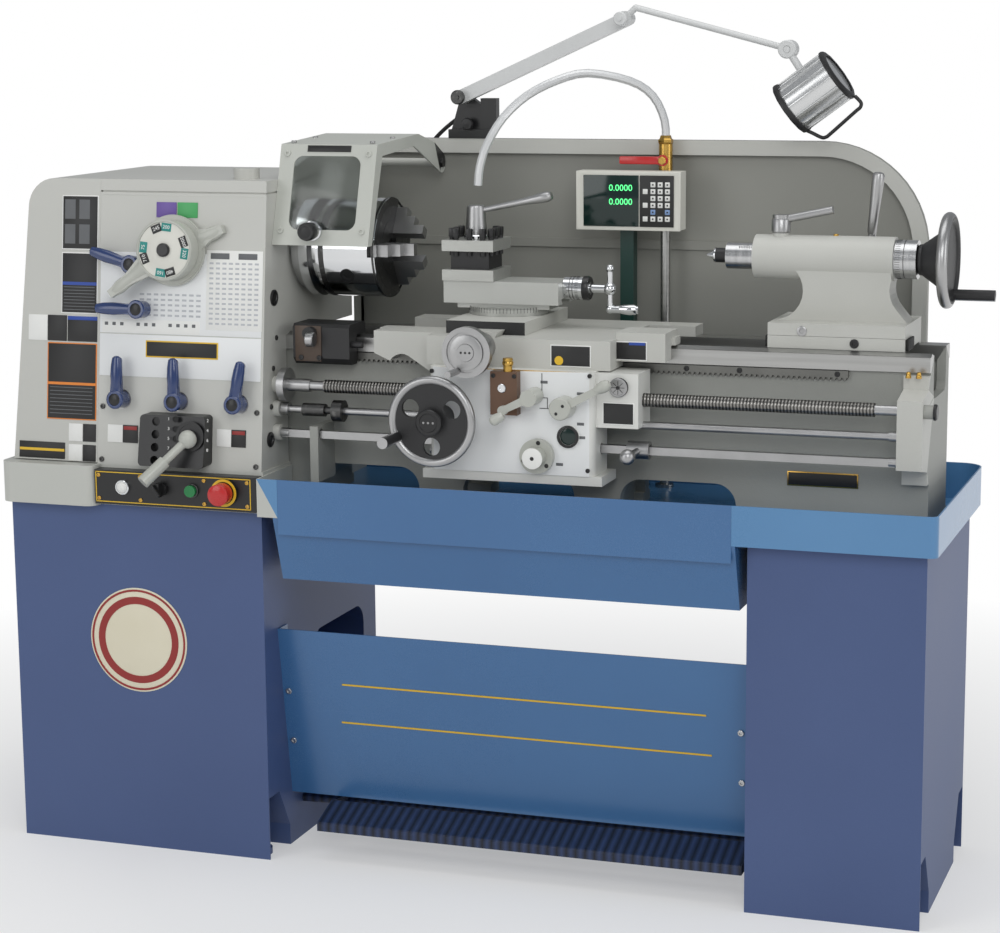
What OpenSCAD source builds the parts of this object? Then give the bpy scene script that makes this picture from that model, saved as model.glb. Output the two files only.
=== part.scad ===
// Gearhead lathe on two pedestals, millimetres, +Z up.
// X runs from headstock to tailstock, Y runs from the operator to the back.

/* [Stand] */
// Height of both pedestals
pedestal_h = 668; // [640:1:700]
// Depth of both pedestals
pedestal_d = 475; // [460:1:500]
// Extra depth of the motor bay at the back of the left pedestal
motor_bay_d = 76; // [40:1:100]
// Width of the left pedestal
left_pedestal_w = 521; // [500:1:540]
// Width of the right pedestal
right_pedestal_w = 311; // [280:1:330]
// Clear width between the pedestals
leg_gap = 917; // [900:1:960]
// Thickness of the sheet metal
sheet = 3; // [2:0.5:4]

/* [Chip pan and drawer] */
// Height of the pan over the pedestals
pan_h = 71; // [60:1:90]
// Depth of the pan
pan_d = 531; // [520:1:560]
// Overhang of the pan over the front of the pedestals
pan_lip = 30; // [20:1:40]
// Overhang of the pan past the right pedestal
pan_end = 21; // [10:1:40]
// Width of the drawer front
drawer_w = 849; // [700:1:860]
// Depth of the bin under the pan
bin_h = 122; // [80:1:150]

/* [Bed] */
// Length of the bed
bed_l = 1540; // [1530:1:1550]
// Width over both ways
bed_w = 210; // [200:1:220]
// Height of the bed up to the flat ways
bed_h = 314; // [310:1:330]
// Width of one way
way_w = 40; // [36:1:48]
// Height of a way head
way_h = 26; // [20:1:30]
// Height of the raised vee over the flat
vee_h = 5; // [4:0.5:8]
// Centre height over the flat ways
centre_h = 158; // [154:1:166]
// Thickness of the bed walls
bed_wall = 24; // [18:1:30]

/* [Headstock] */
// Width of the headstock casting
head_w = 337; // [330:1:350]
// Height of the headstock over the tray
head_h = 530; // [520:1:540]
// Depth of the headstock casting
head_d = 450; // [440:1:470]
// Lean of the headstock front, in degrees
front_lean = 5.94; // [5:0.01:6.5]
// Width of the end cover
cover_w = 177; // [150:1:200]
// Bore of the spindle
spindle_bore = 40; // [30:1:45]

/* [Chuck] */
// Diameter of the chuck body
chuck_d = 186; // [170:1:190]
// Length of the chuck body
chuck_l = 118; // [100:1:120]
// Travel of each jaw
jaw_travel = 12; // [8:1:14]

/* [Feed rods] */
// Diameter of the leadscrew
leadscrew_d = 24; // [20:1:26]
// Diameter of the feed rod
feed_rod_d = 14; // [12:1:16]
// Width of the flat control rod
control_rod_w = 14; // [12:1:16]
// Distance between the rod axes
rod_pitch = 45; // [42:1:48]

/* [Carriage] */
// Width of the apron
apron_w = 309; // [300:1:320]
// Height of the apron
apron_h = 186; // [180:1:190]
// Depth of the apron box
apron_d = 95; // [90:1:98]
// Diameter of the apron handwheel
apron_wheel_d = 164; // [140:1:170]
// Diameter of the cross-slide wheel
cross_wheel_d = 90; // [80:1:96]
// Width of the cross slide
cross_slide_w = 150; // [140:1:160]
// Diameter of the swivel under the compound slide
swivel_d = 148; // [140:1:150]
// Width of the tool post
tool_post_w = 100; // [90:1:104]

/* [Tailstock] */
// Diameter of the quill
quill_d = 47; // [40:1:50]
// Diameter of the tailstock barrel
barrel_d = 78; // [74:1:84]
// Length of the tailstock barrel
barrel_l = 250; // [240:1:260]
// Diameter of the tailstock wheel
tail_wheel_d = 168; // [150:1:170]

/* [Splash guard and lamp] */
// Length of the splash guard
guard_l = 1133; // [1100:1:1150]
// Height of the splash guard over the pan
guard_h = 595; // [560:1:600]
// Radius of the guard's top right corner
guard_r = 200; // [150:10:240]
// Length of the lower lamp arm
lamp_arm_l = 364; // [330:1:370]
// Length of the upper lamp rod
lamp_rod_l = 304; // [280:1:310]

/* [Hidden] */
$fn = 48;

// Overrun of every cut, and the two clearances
over = 1;
slip = 0.3;
fit = 0.06;
// Place of the object's own origin, under the middle of its box
middle_x = 5.5;
middle_y = 30;

// Stand: planes that everything else hangs from
front_y = -185;
legs_x = -377;
right_leg_x = legs_x + leg_gap;
right_end_x = right_leg_x + right_pedestal_w;
notch_w = 96;
notch_h = 120;
foot_r = 22;
foot_h = 12;
foot_bolt_r = 8;
foot_in = 34;
bay_y0 = 40;
bay_w = 260;
bay_z = 90;
bay_h = 300;
bay_depth = 180;
bay_r = 40;

// Pan
pan_z = pedestal_h;
pan_top = pan_z + pan_h;
pan_front = front_y - pan_lip;
pan_back = pan_front + pan_d;
pan_left = legs_x + 5 * sheet / 3;
pan_right = right_end_x + pan_end;
pan_r = 40;
pan_front_r = 14;
tray_top = pan_top + 2 * sheet;
tray_skirt_l = 199;
skirt_r = 22;
drawer_x = -331;
bin_taper = 40;
bin_back = 150;
bin_side = 10;
runner_w = 6;
runner_t = 3;

// Bed
bed_x = -712;
bed_y = -60;
bed_z = pan_z + sheet;
way_z = bed_z + bed_h;
vee_z = way_z + vee_h;
bed_right = bed_x + bed_l;
head_right = bed_x + head_w;
wall_in = 8;
foot_flange = 18;
flange_w = 46;
bed_rib = 16;
arch_w = 215;
arch_h = 74;
arch_r = 40;
arch_x = 272;
rib_pitch = 190;
rack_x = -330;
rack_l = 1016;
rack_h = 16;
rack_t = 8;
tooth_pitch = 9.4;
tooth_h = 5;
end_bracket_w = 44;
end_bracket_h = 190;
end_bracket_z = 764;
bracket_out = 70;

// Spindle line
axis_y = 45;
axis_z = way_z + centre_h;

// Headstock
face_z0 = tray_top;
head_top = face_z0 + head_h;
head_back = front_y + head_d;
lid_h = 24;
lid_in = 6;
cap_r = 24;
cap_h = 20;
cover_x0 = bed_x - cover_w;
cover_lean = 25;
cover_r = 54;
cover_t = 4;
cover_gap = 2;
hinge_r = 7;
hinge_out = 9;
hinge_l = 60;
hinge_z = 90;
spindle_r = 32;
bearing_r = 52;
flange_r = 93;
flange_t = 14;
gear_t = 14;
gear_x = 34;
gear_tooth = 6;
stud_r = 14;
quadrant_t = 12;
panel_h = 65;
panel_z = 674;
panel_out = 25;
gate_w = 133;
gate_h = 94;
gate_out = 40;
gate_x = -608;
gate_z = 753;
gate_slot_r = 24;
lug_t = 20;
lug_r = 24;
pivot_y = 276;
pivot_z = 1288;
pivot_r = 8;

// Controls on the headstock face
dial_x = -558;
dial_z = 1146;
dial_r = 56;
dial_ring_r = 63;
dial_t = 28;
ring_t = 15;
dial_arm = 140;
ring_arm = 110;
hub_r = 16;
hub_h = 30;
lever_l = 78;
lever_w0 = 22;
lever_w1 = 15;
lever_t = 12;
lever_x = -621;
upper_lever_x = -636;
upper_lever_z = 1118;
upper_turn = 164;
lower_lever_z = 1036;
feed_hub_z = 868;
feed_lever_xs = [-662, -544, -422];
feed_lever_l = 72;
feed_turns = [90, 92, 81];
selector_x = -502;
selector_z = 808;
selector_r = 8;
selector_l = 116;
selector_grip_r = 12;
selector_grip_l = 56;
selector_ball_r = 17;
selector_lean = 38;
selector_side = 40;

// Switches on the control panel
switch_x = -567;
switch_r = 13;
start_x = -505;
start_r = 11;
stop_x = -438;
stop_r = 20;
stop_collar_r = 26;
collar_t = 6;
button_h = 7;
button_travel = 4;
knob_h = 22;
switch_z = 709;

// Chuck guard
guard_w = 190;
guard_x = head_right + slip;
guard_top_y = -60;
guard_top_z = 1339;
guard_low_y = -115;
guard_low_z = 1158;
guard_t = 3;
arm_end_r = 20;
window_w = 132;
window_h = 132;
window_r = 18;
guard_knob_r = 15;
guard_knob_h = 30;
guard_knob_up = 27;

// Feed rods
rod_y = -115;
screw_z = 900;
feed_z = screw_z - rod_pitch;
control_z = feed_z - rod_pitch;
rod_disc_x = -360;
rod_disc_r = 31;
rod_disc_t = 14;
journal_r = 9;
rod_end_in = 12;
rod_right = bed_right - rod_end_in;
screw_x0 = -274;
screw_x1 = 744;
clutch_r = 20;
clutch_x = -257;
clutch_l = 20;

// Stand, feed and drive details
cap_x = -442;
cap_in = 60;
rod_disc_gap = 12;
screw_teeth = 20;
spindle_teeth = 30;
idler_teeth = 44;
mesh_y = rod_y - axis_y;
mesh_z = screw_z - axis_z;
tooth_size = norm([mesh_y, mesh_z]) / (spindle_teeth + 2 * idler_teeth + screw_teeth);
mesh_angle = atan2(mesh_z, mesh_y);
idler_share = (spindle_teeth + idler_teeth) / (spindle_teeth + 2 * idler_teeth + screw_teeth);
idler_y = axis_y + idler_share * mesh_y;
idler_z = axis_z + idler_share * mesh_z;
idler_turn = mesh_angle + 180 + mesh_angle * spindle_teeth / idler_teeth - 180 / idler_teeth;
screw_turn = mesh_angle + 180 - (idler_turn - mesh_angle) * idler_teeth / screw_teeth - 180 / screw_teeth;
gear_x0 = bed_x - gear_x;
idler_r = tooth_size * idler_teeth;
shank_share = 0.55;
hinge_x = bed_x - slip;
selector_y = front_at(selector_z) - gate_out - selector_ball_r / 2;
ring_turn = 22;
dial_turn = 217;
spindle_out = 88;
spindle_x0 = bed_x - spindle_out;
chuck_neck = 34;
nose_l = 23;
chuck_x = head_right + nose_l;
chuck_face = chuck_x + chuck_neck + chuck_l;
jaw_base = 14;
jaw_in = 24;
jaw_w = 22;
jaw_l = 59;
jaw_step = 18;
key_r = 8;
key_depth = 15;
window_z = 1186;
arm_bend_y = 150;
arm_camber = 10;
rod_support_x = -300;
rod_support_w = 16;
rod_support_z = 722;

// Stand and carriage details
notch_in = 60;
pedal_seat = 12;
pedal_y = -20;
pedal_z = 75;
pedal_r = 9;
pedal_x0 = -288;
pedal_x1 = 530;
pedal_arm_t = 8;
tread_y = -165;
tread_z = 60;
tread_lip = 14;
tread_d = 72;
tread_rise = 36;
louvres = 8;
louvre_in = 120;
louvre_z = 200;
louvre_pitch = 34;
louvre_h = 14;
chute_in = 40;
bin_x0 = drawer_x - bin_side;
bin_x1 = drawer_x + drawer_w + 0.7 * bin_side;
tray_out = 16;
kick_top_y = -126;
kick_top_z = 436;
kick_low_y = -75;
kick_low_z = 102;
kick_flange = 40;

// Carriage
apron_x = -52;
apron_z = 766;
apron_front = -165;
apron_top = apron_z + apron_h;
apron_back = apron_front + apron_d;
skirt_h = 17;
skirt_out = 14;
saddle_t = 14;
saddle_z = way_z + vee_h + slip;
saddle_top = saddle_z + saddle_t;
saddle_x1 = 280;
wing_left = -182;
wing_right = 369;
wing_drop = 44;
wing_r = 54;
saddle_front = -140;
saddle_back = 165;
wiper_t = 6;
dovetail_h = 10;
dovetail_in = 6;
slide_z = saddle_top + slip;
cross_slide_h = 23;
cross_x = -41;
cross_y0 = -100;
cross_l = 255;
swivel_x = 31;
swivel_h = 12;
swivel_z = slide_z + cross_slide_h;
compound_x = -82;
compound_l = 222;
compound_w = 90;
base_plate_h = 8;
compound_base_x = -58;
compound_base_l = 178;
compound_z = swivel_z + swivel_h;
slide_low_z = compound_z + base_plate_h + slip;
compound_h = 41;
compound_top = slide_low_z + compound_h;
post_x = -33;
plate_h = 20;
core_w = 74;
core_h = 34;
post_hub_r = 21;
post_hub_h = 58;
post_stud_r = 12;
post_screw_r = 5;
post_screw_h = 19;
post_screw_in = 12;
post_lever_l = 150;
post_lever_r = 7;
post_lever_lift = 12;
post_z = compound_top;
wheel_y = -222;
wheel_x = -25;
wheel_z = 862;
wheel_rim_r = 8;
wheel_web_t = 9;
wheel_hub_r = 22;
wheel_handle_r = 10;
wheel_handle_l = 74;
wheel_windows = 3;
cross_wheel_x = 40;
cross_wheel_up = 2;
cross_wheel_z = way_z + cross_wheel_up;
cross_wheel_y = -206;
cross_wheel_t = 16;
cross_collar_r = 27;
cross_collar_l = 24;
cross_handle_r = 6;
cross_handle_l = 48;
pump_x0 = 72;
pump_w = 50;
pump_z = 873;
pump_h = 77;
pump_out = 20;
pump_knob_r = 8;
pump_knob_l = 22;
feed_lever_x = 150;
feed_lever_z = 908;
feed_lever_len = 54;
feed_lever_turn = 206;
half_nut_x = 205;
half_nut_z = 890;
half_nut_r = 20;
half_nut_len = 88;
half_nut_turn = 28;
sight_x = 211;
sight_z = 837;
sight_r = 20;
sight_t = 4;
feed_knob_x = 154;
feed_knob_z = 800;
feed_knob_r = 31;
feed_cap_r = 19;
feed_knob_t = 12;
feed_cap_t = 22;
dial_box_x = 264;
dial_box_w = 70;
dial_box_z = 853;
dial_box_h = 97;
thread_dial_x = 299;
thread_dial_z = 926;
thread_dial_r = 17;
control_x = 326;
control_hub_l = 40;

// Carriage stop
stop_block_x = -343;
stop_block_w = 112;
stop_block_h = 75;
stop_block_z = 937;
stop_block_y = -100;

// Tailstock
tail_quill_x = 445;
barrel_x = 497;
tail_base_x = 537;
tail_base_l = 242;
tail_base_h = 44;
tail_base_y = -35;
tail_base_d = 165;
tail_collar_r = 34;
tail_collar_l = 39;
tail_wheel_x = 838;
tail_handle_l = 66;
tail_handle_r = 10;
center_collar_r = 13;
center_collar_l = 24;
center_l = 37;
lock_x = 541;
lock_r = 15;
lock_h = 32;
lock_lever_l = 95;
clamp_x = 680;
clamp_r = 8;

// Splash guard, readout and coolant
guard_back_x = head_right + sheet;
rim_d = 18;
rim_h = 28;
bead_h = 17;
bead_z = 1126;
bead_t = 6;
readout_x = 109;
readout_w = 202;
readout_z = 1170;
readout_h = 109;
readout_y = 215;
readout_t = 40;
mast_w = 26;
mast_x = 183;
pipe_x = 267;
pipe_y = 272;
pipe_r = 9;
valve_z = 1278;
valve_h = 50;
valve_r = 13;
valve_lever_l = 84;
valve_lever_t = 5;
spout_r = 8;
spout_points = [[267, 272, 1327], [265, 270, 1372], [244, 262, 1418], [204, 244, 1446], [132, 214, 1461],
  [84, 176, 1449], [40, 128, 1422], [6, 88, 1382], [-18, 66, 1334], [-30, 60, 1294], [-34, 60, 1260]];

// Work lamp
lamp_y = 302;
lamp_base_x = -178;
lamp_base_w = 86;
lamp_base_h = 64;
lamp_plate_h = 17;
lamp_top_w = 48;
lamp_pivot_x = -147;
lamp_pivot_z = 1414;
arm_rise = 23.8;
lamp_arm_h = 26;
lamp_arm_t = 22;
elbow_x = lamp_pivot_x + lamp_arm_l * cos(arm_rise);
elbow_z = lamp_pivot_z + lamp_arm_l * sin(arm_rise);
rod_fall = 14.8;
rod_r = 6;
elbow_out = 22;
elbow_up = 20;
tip_x = elbow_x + elbow_out + lamp_rod_l * cos(rod_fall);
tip_z = elbow_z + elbow_up - lamp_rod_l * sin(rod_fall);
elbow_r = 14;
joint_r = 17;
head_open_r = 54;
head_end_r = 34;
head_l = 104;
head_t = 3;
head_fin = 4;
head_turn = 234;
head_x = 51;
head_drop = 77;
cable_r = 4;
gland_r = 9;
gland_l = 16;
gland_x = -96;
gland_z = 1402;
socket_x = -432;
socket_z = 1170;
cable_points = [[-96, 318, 1402], [-96, 324, 1402], [-96, 330, 1402], [-103, 347, 1400],
    [-124, 358, 1395], [-154, 360, 1384],
  [-188, 356, 1364], [-222, 350, 1334], [-256, 345, 1292], [-294, 340, 1246], [-338, 334, 1208],
  [-382, 324, 1184], [-416, 312, 1173], [-430, 301, 1170], [-432, 293, 1170], [-432, 287, 1170],
  [-432, 281, 1170]];
control_reach = 75;
control_bore_r = 0.72 * control_rod_w + slip;
saddle_x0 = -64;
wing_in = 40;
cross_shaft_in = 40;
tail_x0 = cross_x + 0.25 * cross_slide_w;
tail_x1 = cross_x + 0.75 * cross_slide_w;
stop_rod_l = 20;
stop_rod_in = 16;
stop_rod_r = 6;
shaft_in = 16;
dial_box_y = -150;
grip_turn = 205;
cross_grip_turn = 243;
swivel_pin_r = 20;
crank_in = 20;
crank_shaft_r = 8;
crank_z = slide_low_z + 0.7 * compound_h;
crank_x = 225;
crank_collar_l = 47;
crank_collar_r = 21;
crank_ball_r = 8;
crank_arm = 37;
crank_grip_l = 54;
tail_z = way_z + vee_h + slip;
tail_base_top = tail_z + tail_base_h;
lock_lift = 12;
clamp_turn = 6;
mast_z0 = pan_z + sheet;
tail_web_r = 52;
quill_l = 210;
center_shank_l = 60;
center_cone_r = 8.5;
center_tip_r = 2;
tail_screw_l = 60;
tail_screw_r = 7.5;
tail_grip_turn = -177;
clamp_out = 12;
clamp_y = axis_y + barrel_d / 2 + clamp_out;
clamp_z = 1062;
clamp_lever_l = 228;
elbow_lean = atan2(elbow_up, elbow_out);
head_fins = 7;
fin_shares = [[0, 0], [0.15, 1], [0.55, 1], [0.7, 0]];

// Colours of the preview
bright = [0.74, 0.75, 0.76];
steel = [0.62, 0.63, 0.64];
navy = [0.23, 0.28, 0.45];
pale = [0.75, 0.75, 0.71];
cream = [0.78, 0.79, 0.76];
blue = [0.31, 0.38, 0.55];
mid_blue = [0.29, 0.43, 0.61];
black = [0.14, 0.14, 0.15];

// Every node is shifted so that the object stands over its own origin
module place() translate([-middle_x, -middle_y, 0]) children();

// A block given by its two corners
module block(x0, x1, y0, y1, z0, z1) translate([x0, y0, z0]) cube([x1 - x0, y1 - y0, z1 - z0]);

// Round bars along each axis
module bar_x(x0, x1, y, z, r) translate([x0, y, z]) rotate([0, 90, 0]) cylinder(h = x1 - x0, r = r);
module bar_y(y0, y1, x, z, r) translate([x, y1, z]) rotate([90, 0, 0]) cylinder(h = y1 - y0, r = r);
module bar_z(z0, z1, x, y, r) translate([x, y, z0]) cylinder(h = z1 - z0, r = r);

// A profile drawn in Y and Z and drawn out along X, and one in X and Z drawn out along Y
module along_x(x0, x1) translate([x0, 0, 0]) rotate([90, 0, 90]) linear_extrude(x1 - x0) children();
module along_y(y0, y1) translate([0, y1, 0]) rotate([90, 0, 0]) linear_extrude(y1 - y0) children();

// A rectangle with round corners
module round_rect(x0, x1, y0, y1, r) {
  translate([x0 + r, y0]) square([x1 - x0 - 2 * r, y1 - y0]);
  translate([x0, y0 + r]) square([x1 - x0, y1 - y0 - 2 * r]);
  for (x = [x0 + r, x1 - r], y = [y0 + r, y1 - r]) translate([x, y]) circle(r);
}

// Points of an arc
function arc(cx, cy, r, a0, a1, n = 8) =
  [for (i = [0:n]) [cx + r * cos(a0 + (a1 - a0) * i / n), cy + r * sin(a0 + (a1 - a0) * i / n)]];

// The leaning front of the headstock, and a frame on it with Z pointing out
function front_at(z) = front_y + (z - face_z0) * tan(front_lean);
module on_front(x, z) translate([x, front_at(z), z]) rotate([90 - front_lean, 0, 0]) children();

// A spur gear along X with straight-sided teeth
module gear_x_axis(x0, x1, r, teeth) {
  tooth_shares = [[-0.28, 0], [-0.12, 1], [0.12, 1], [0.28, 0]];
  pitch = 360 / teeth;
  translate([x0, 0, 0]) rotate([90, 0, 90]) linear_extrude(x1 - x0)
    polygon([for (i = [0:teeth - 1], s = tooth_shares)
      let (a = (i + s[0]) * pitch, d = r - 0.6 * gear_tooth + s[1] * gear_tooth)
      [d * cos(a), d * sin(a)]]);
}

// Side notch of a pedestal with its levelling bolt
module notch(side, dir, y0, y1) {
  x0 = dir > 0 ? side - notch_in : side - over;
  x1 = dir > 0 ? side + over : side + notch_in;
  along_x(x0, x1)
    polygon([[y0, -over], [y0, notch_h], [(y0 + y1) / 2, notch_h], [y1, notch_h / 3], [y1, -over]]);
}
module levelling_foot(x, y) {
  bar_z(0, foot_h, x, y, foot_r);
  bar_z(0, notch_h + over, x, y, foot_bolt_r);
}

module pedestal(x0, x1, depth) {
  back = front_y + depth;
  difference() {
    block(x0, x1, front_y, back, 0, pedestal_h);
    for (s = [[x0, -1], [x1, 1]]) {
      notch(s[0], s[1], front_y + sheet, front_y + notch_w);
      mirror([0, 1, 0]) notch(s[0], s[1], -back + sheet, -back + notch_w);
    }
  }
  for (x = [x0 + foot_in, x1 - foot_in], y = [front_y + foot_in, back - foot_in]) levelling_foot(x, y);
}

module left_pedestal() color(blue) place() difference() {
  pedestal(legs_x - left_pedestal_w, legs_x, pedestal_d + motor_bay_d);
  along_x(legs_x - bay_depth, legs_x + over)
      round_rect(bay_y0, bay_y0 + bay_w, bay_z, bay_z + bay_h, bay_r);
  bar_x(legs_x - pedal_seat, legs_x + over, pedal_y, pedal_z, pedal_r + fit);
  for (i = [0:louvres - 1])
    block(legs_x - left_pedestal_w + louvre_in, legs_x - louvre_in,
      front_y + pedestal_d + motor_bay_d - sheet, front_y + pedestal_d + motor_bay_d + over,
      louvre_z + i * louvre_pitch, louvre_z + i * louvre_pitch + louvre_h);
}

module right_pedestal() color(blue) place() difference() {
  pedestal(right_leg_x, right_end_x, pedestal_d);
  bar_x(right_leg_x - over, right_leg_x + pedal_seat, pedal_y, pedal_z, pedal_r + fit);
}

// Outline of the pan, drawn in by the given amount
module pan_plan(inset) {
  x0 = pan_left + inset;
  x1 = pan_right - inset;
  y0 = pan_front + inset;
  y1 = pan_back - inset;
  polygon(concat([[x0, y0]], arc(x1 - pan_front_r + inset, y0 + pan_front_r - inset,
      pan_front_r - inset, -90, 0),
    arc(x1 - pan_r + inset, y1 - pan_r + inset, pan_r - inset, 0, 90), [[x0, y1]]));
}

module chip_pan() color([0.36, 0.53, 0.73]) place() {
  difference() {
    translate([0, 0, pan_z]) linear_extrude(pan_h) pan_plan(0);
    translate([0, 0, pan_z + sheet]) linear_extrude(pan_h) pan_plan(sheet);
    block(drawer_x - slip, drawer_x + drawer_w + slip, pan_front - over, pan_front + sheet + slip,
      pan_z - over, pan_top + over);
    block(drawer_x + chute_in, drawer_x + drawer_w - chute_in, pan_front + chute_in, bed_y - slip,
      pan_z - over, pan_z + sheet + over);
    block(pan_left - over, pan_left + sheet + over, bed_y - slip, bed_y + bed_w + slip,
      pan_z + sheet, pan_top + over);
  }
  for (s = [[bin_x0 - runner_w - slip - runner_t, bin_x0 - slip],
    [bin_x1 + slip, bin_x1 + runner_w + slip + runner_t]]) {
    block(s[0], s[1], front_y, bin_back, pan_z - 2 * slip - 2 * runner_t, pan_z - 2 * slip - runner_t);
  }
  for (x = [bin_x0 - runner_w - slip - runner_t, bin_x1 + runner_w + slip])
    block(x, x + runner_t, front_y, bin_back, pan_z - 2 * slip - 2 * runner_t, pan_z);
  headstock_tray();
}

// Grey tray under the headstock, open where the bed runs through it
module headstock_tray() {
  x0 = cover_x0 - tray_out;
  difference() {
    union() {
      block(x0, pan_left, front_y, pan_back, pan_z, tray_top);
      translate([0, 0, pan_z]) linear_extrude(tray_top - pan_z)
        round_rect(x0, x0 + tray_skirt_l, pan_front, front_y + skirt_r, skirt_r);
    }
    block(x0 + sheet, pan_left - sheet, front_y + sheet, pan_back - sheet, pan_z + sheet, tray_top - sheet);
    block(bed_x, pan_left + over, bed_y, bed_y + bed_w, pan_z + sheet, tray_top + over);
  }
}

// Outline of the bin's end, drawn in by the given amount
module bin_end(inset) polygon([
  [pan_front + inset, pan_z - slip + (inset > 0 ? over : 0)],
  [pan_front + bin_taper + inset, pan_z - bin_h + inset],
  [bin_back - inset, pan_z - bin_h + inset],
  [bin_back - inset, pan_z - slip + (inset > 0 ? over : 0)]]);

module chip_drawer() color(mid_blue) place() {
  difference() {
    along_x(bin_x0, bin_x1) bin_end(0);
    along_x(bin_x0 + sheet, bin_x1 - sheet) bin_end(sheet);
  }
  difference() {
    block(drawer_x, drawer_x + drawer_w, pan_front, pan_front + sheet, pan_z - bin_h / 4, pan_top);
    along_x(bin_x0 + sheet, bin_x1 - sheet) bin_end(sheet);
  }
  for (x = [bin_x0 - runner_w, bin_x1 - over])
    block(x, x + runner_w + over, front_y + over, bin_back, pan_z - slip - runner_t, pan_z - slip);
}

module kick_panel() color(mid_blue) place() {
  along_x(legs_x, right_leg_x)
    polygon([[kick_top_y, kick_top_z], [kick_top_y + sheet, kick_top_z],
      [kick_low_y + sheet, kick_low_z], [kick_low_y, kick_low_z]]);
  for (x = [legs_x, right_leg_x - sheet])
    along_x(x, x + sheet)
      polygon([[kick_top_y, kick_top_z], [kick_top_y + kick_flange, kick_top_z],
        [kick_low_y + kick_flange, kick_low_z], [kick_low_y, kick_low_z]]);
}

module brake_pedal() color(black) place() {
  bar_x(legs_x - pedal_seat + slip, right_leg_x + pedal_seat - slip, pedal_y, pedal_z, pedal_r);
  along_x(pedal_x0, pedal_x1)
    polygon([[tread_y, tread_z], [tread_y, tread_z + tread_lip],
        [tread_y + sheet, tread_z + tread_lip + sheet],
      [tread_y + tread_d, tread_z + tread_rise + sheet], [tread_y + tread_d, tread_z + tread_rise],
      [tread_y + 2 * sheet, tread_z + tread_lip], [tread_y + 2 * sheet, tread_z]]);
  for (x = [pedal_x0, pedal_x1 - pedal_arm_t])
    along_x(x, x + pedal_arm_t)
      polygon([[tread_y + sheet, tread_z], [pedal_y, pedal_z - 1.2 * pedal_r],
        [pedal_y + 1.2 * pedal_r, pedal_z], [pedal_y, pedal_z + 1.2 * pedal_r],
        [tread_y + tread_d, tread_z + tread_rise], [tread_y + sheet, tread_z + tread_lip]]);
}

// One way head, with or without the raised vee
module way_head(y0, vee) polygon(concat(
  [[y0, way_z - way_h], [y0 + way_w, way_z - way_h], [y0 + way_w, way_z]],
  vee ? [[y0 + 0.8 * way_w, way_z], [y0 + way_w / 2, vee_z], [y0 + 0.2 * way_w, way_z]] : [],
  [[y0, way_z]]));

module bed() color([0.5, 0.51, 0.49]) place() difference() {
  union() {
    bed_casting();
    rack();
    end_bracket();
    block(rod_support_x, rod_support_x + rod_support_w, rod_y - rod_support_w, bed_y + wall_in + over,
      rod_support_z, control_z + rod_support_w);
  }
  for (z = [screw_z, feed_z, control_z])
    bar_x(bed_right - end_bracket_w - over, rod_right + slip, rod_y, z, journal_r + fit);
  bar_x(rod_support_x - over, rod_support_x + rod_support_w + over, rod_y, control_z, control_bore_r);
}

module bed_casting() {
  far = bed_y + bed_w;
  difference() {
    union() {
      for (y = [bed_y + wall_in, far - wall_in - bed_wall])
        block(bed_x, bed_right, y, y + bed_wall, bed_z, way_z - way_h + over);
      along_x(bed_x, head_right) way_head(bed_y, false);
      along_x(head_right, bed_right) way_head(bed_y, true);
      along_x(bed_x, bed_right) way_head(far - way_w, false);
      for (y = [bed_y, far - flange_w]) block(bed_x, bed_right, y, y + flange_w, bed_z,
          bed_z + foot_flange);
      for (x = [bed_x : rib_pitch : bed_right - rib_pitch])
        block(x, x + bed_rib, bed_y + wall_in + over, far - wall_in - over, bed_z, way_z - 2.4 * way_h);
      block(bed_right - bed_rib, bed_right, bed_y + wall_in + over, far - wall_in - over, bed_z,
        way_z - way_h);
    }
    for (i = [0:2])
      along_y(bed_y - over, far + over)
        round_rect(arch_x - i * 1.4 * arch_w, arch_x + arch_w - i * 1.4 * arch_w,
          bed_z - arch_r, bed_z + arch_h, arch_r);
    along_x(bed_right - bed_rib - over, bed_right + over)
      round_rect(bed_y + way_w, far - way_w, way_z - 3 * way_h, way_z + way_h, bed_rib);
  }
}

module rack() {
  root = way_z - way_h - sheet;
  tip = root - rack_h;
  rack_shares = [[0, 1], [0.2, 1], [0.38, 0], [0.62, 0], [0.8, 1]];
  count = floor(rack_l / tooth_pitch);
  along_y(bed_y + wall_in - rack_t, bed_y + wall_in + over)
    polygon(concat([[rack_x, root + over], [rack_x, tip + tooth_h]],
      [for (i = [0:count - 1], s = rack_shares) [rack_x + (i + s[0]) * tooth_pitch, tip + s[1] * tooth_h]],
      [[rack_x + rack_l, tip + tooth_h], [rack_x + rack_l, root + over]]));
}

module end_bracket() {
  y0 = bed_y + wall_in;
  y1 = y0 - bracket_out / 4;
  y2 = y0 - 1.1 * bracket_out;
  top = end_bracket_z + end_bracket_h;
  along_x(bed_right - end_bracket_w, bed_right)
    polygon([[y0, end_bracket_z], [y0, top], [y1, top], [y1, top - bracket_out / 3],
        [y2, top - bracket_out / 2],
      [y2, end_bracket_z + bracket_out / 2], [y1, end_bracket_z + bracket_out / 3], [y1, end_bracket_z]]);
  bar_x(bed_right - over, bed_right + foot_flange, rod_y, screw_z, journal_r + sheet);
}

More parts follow.
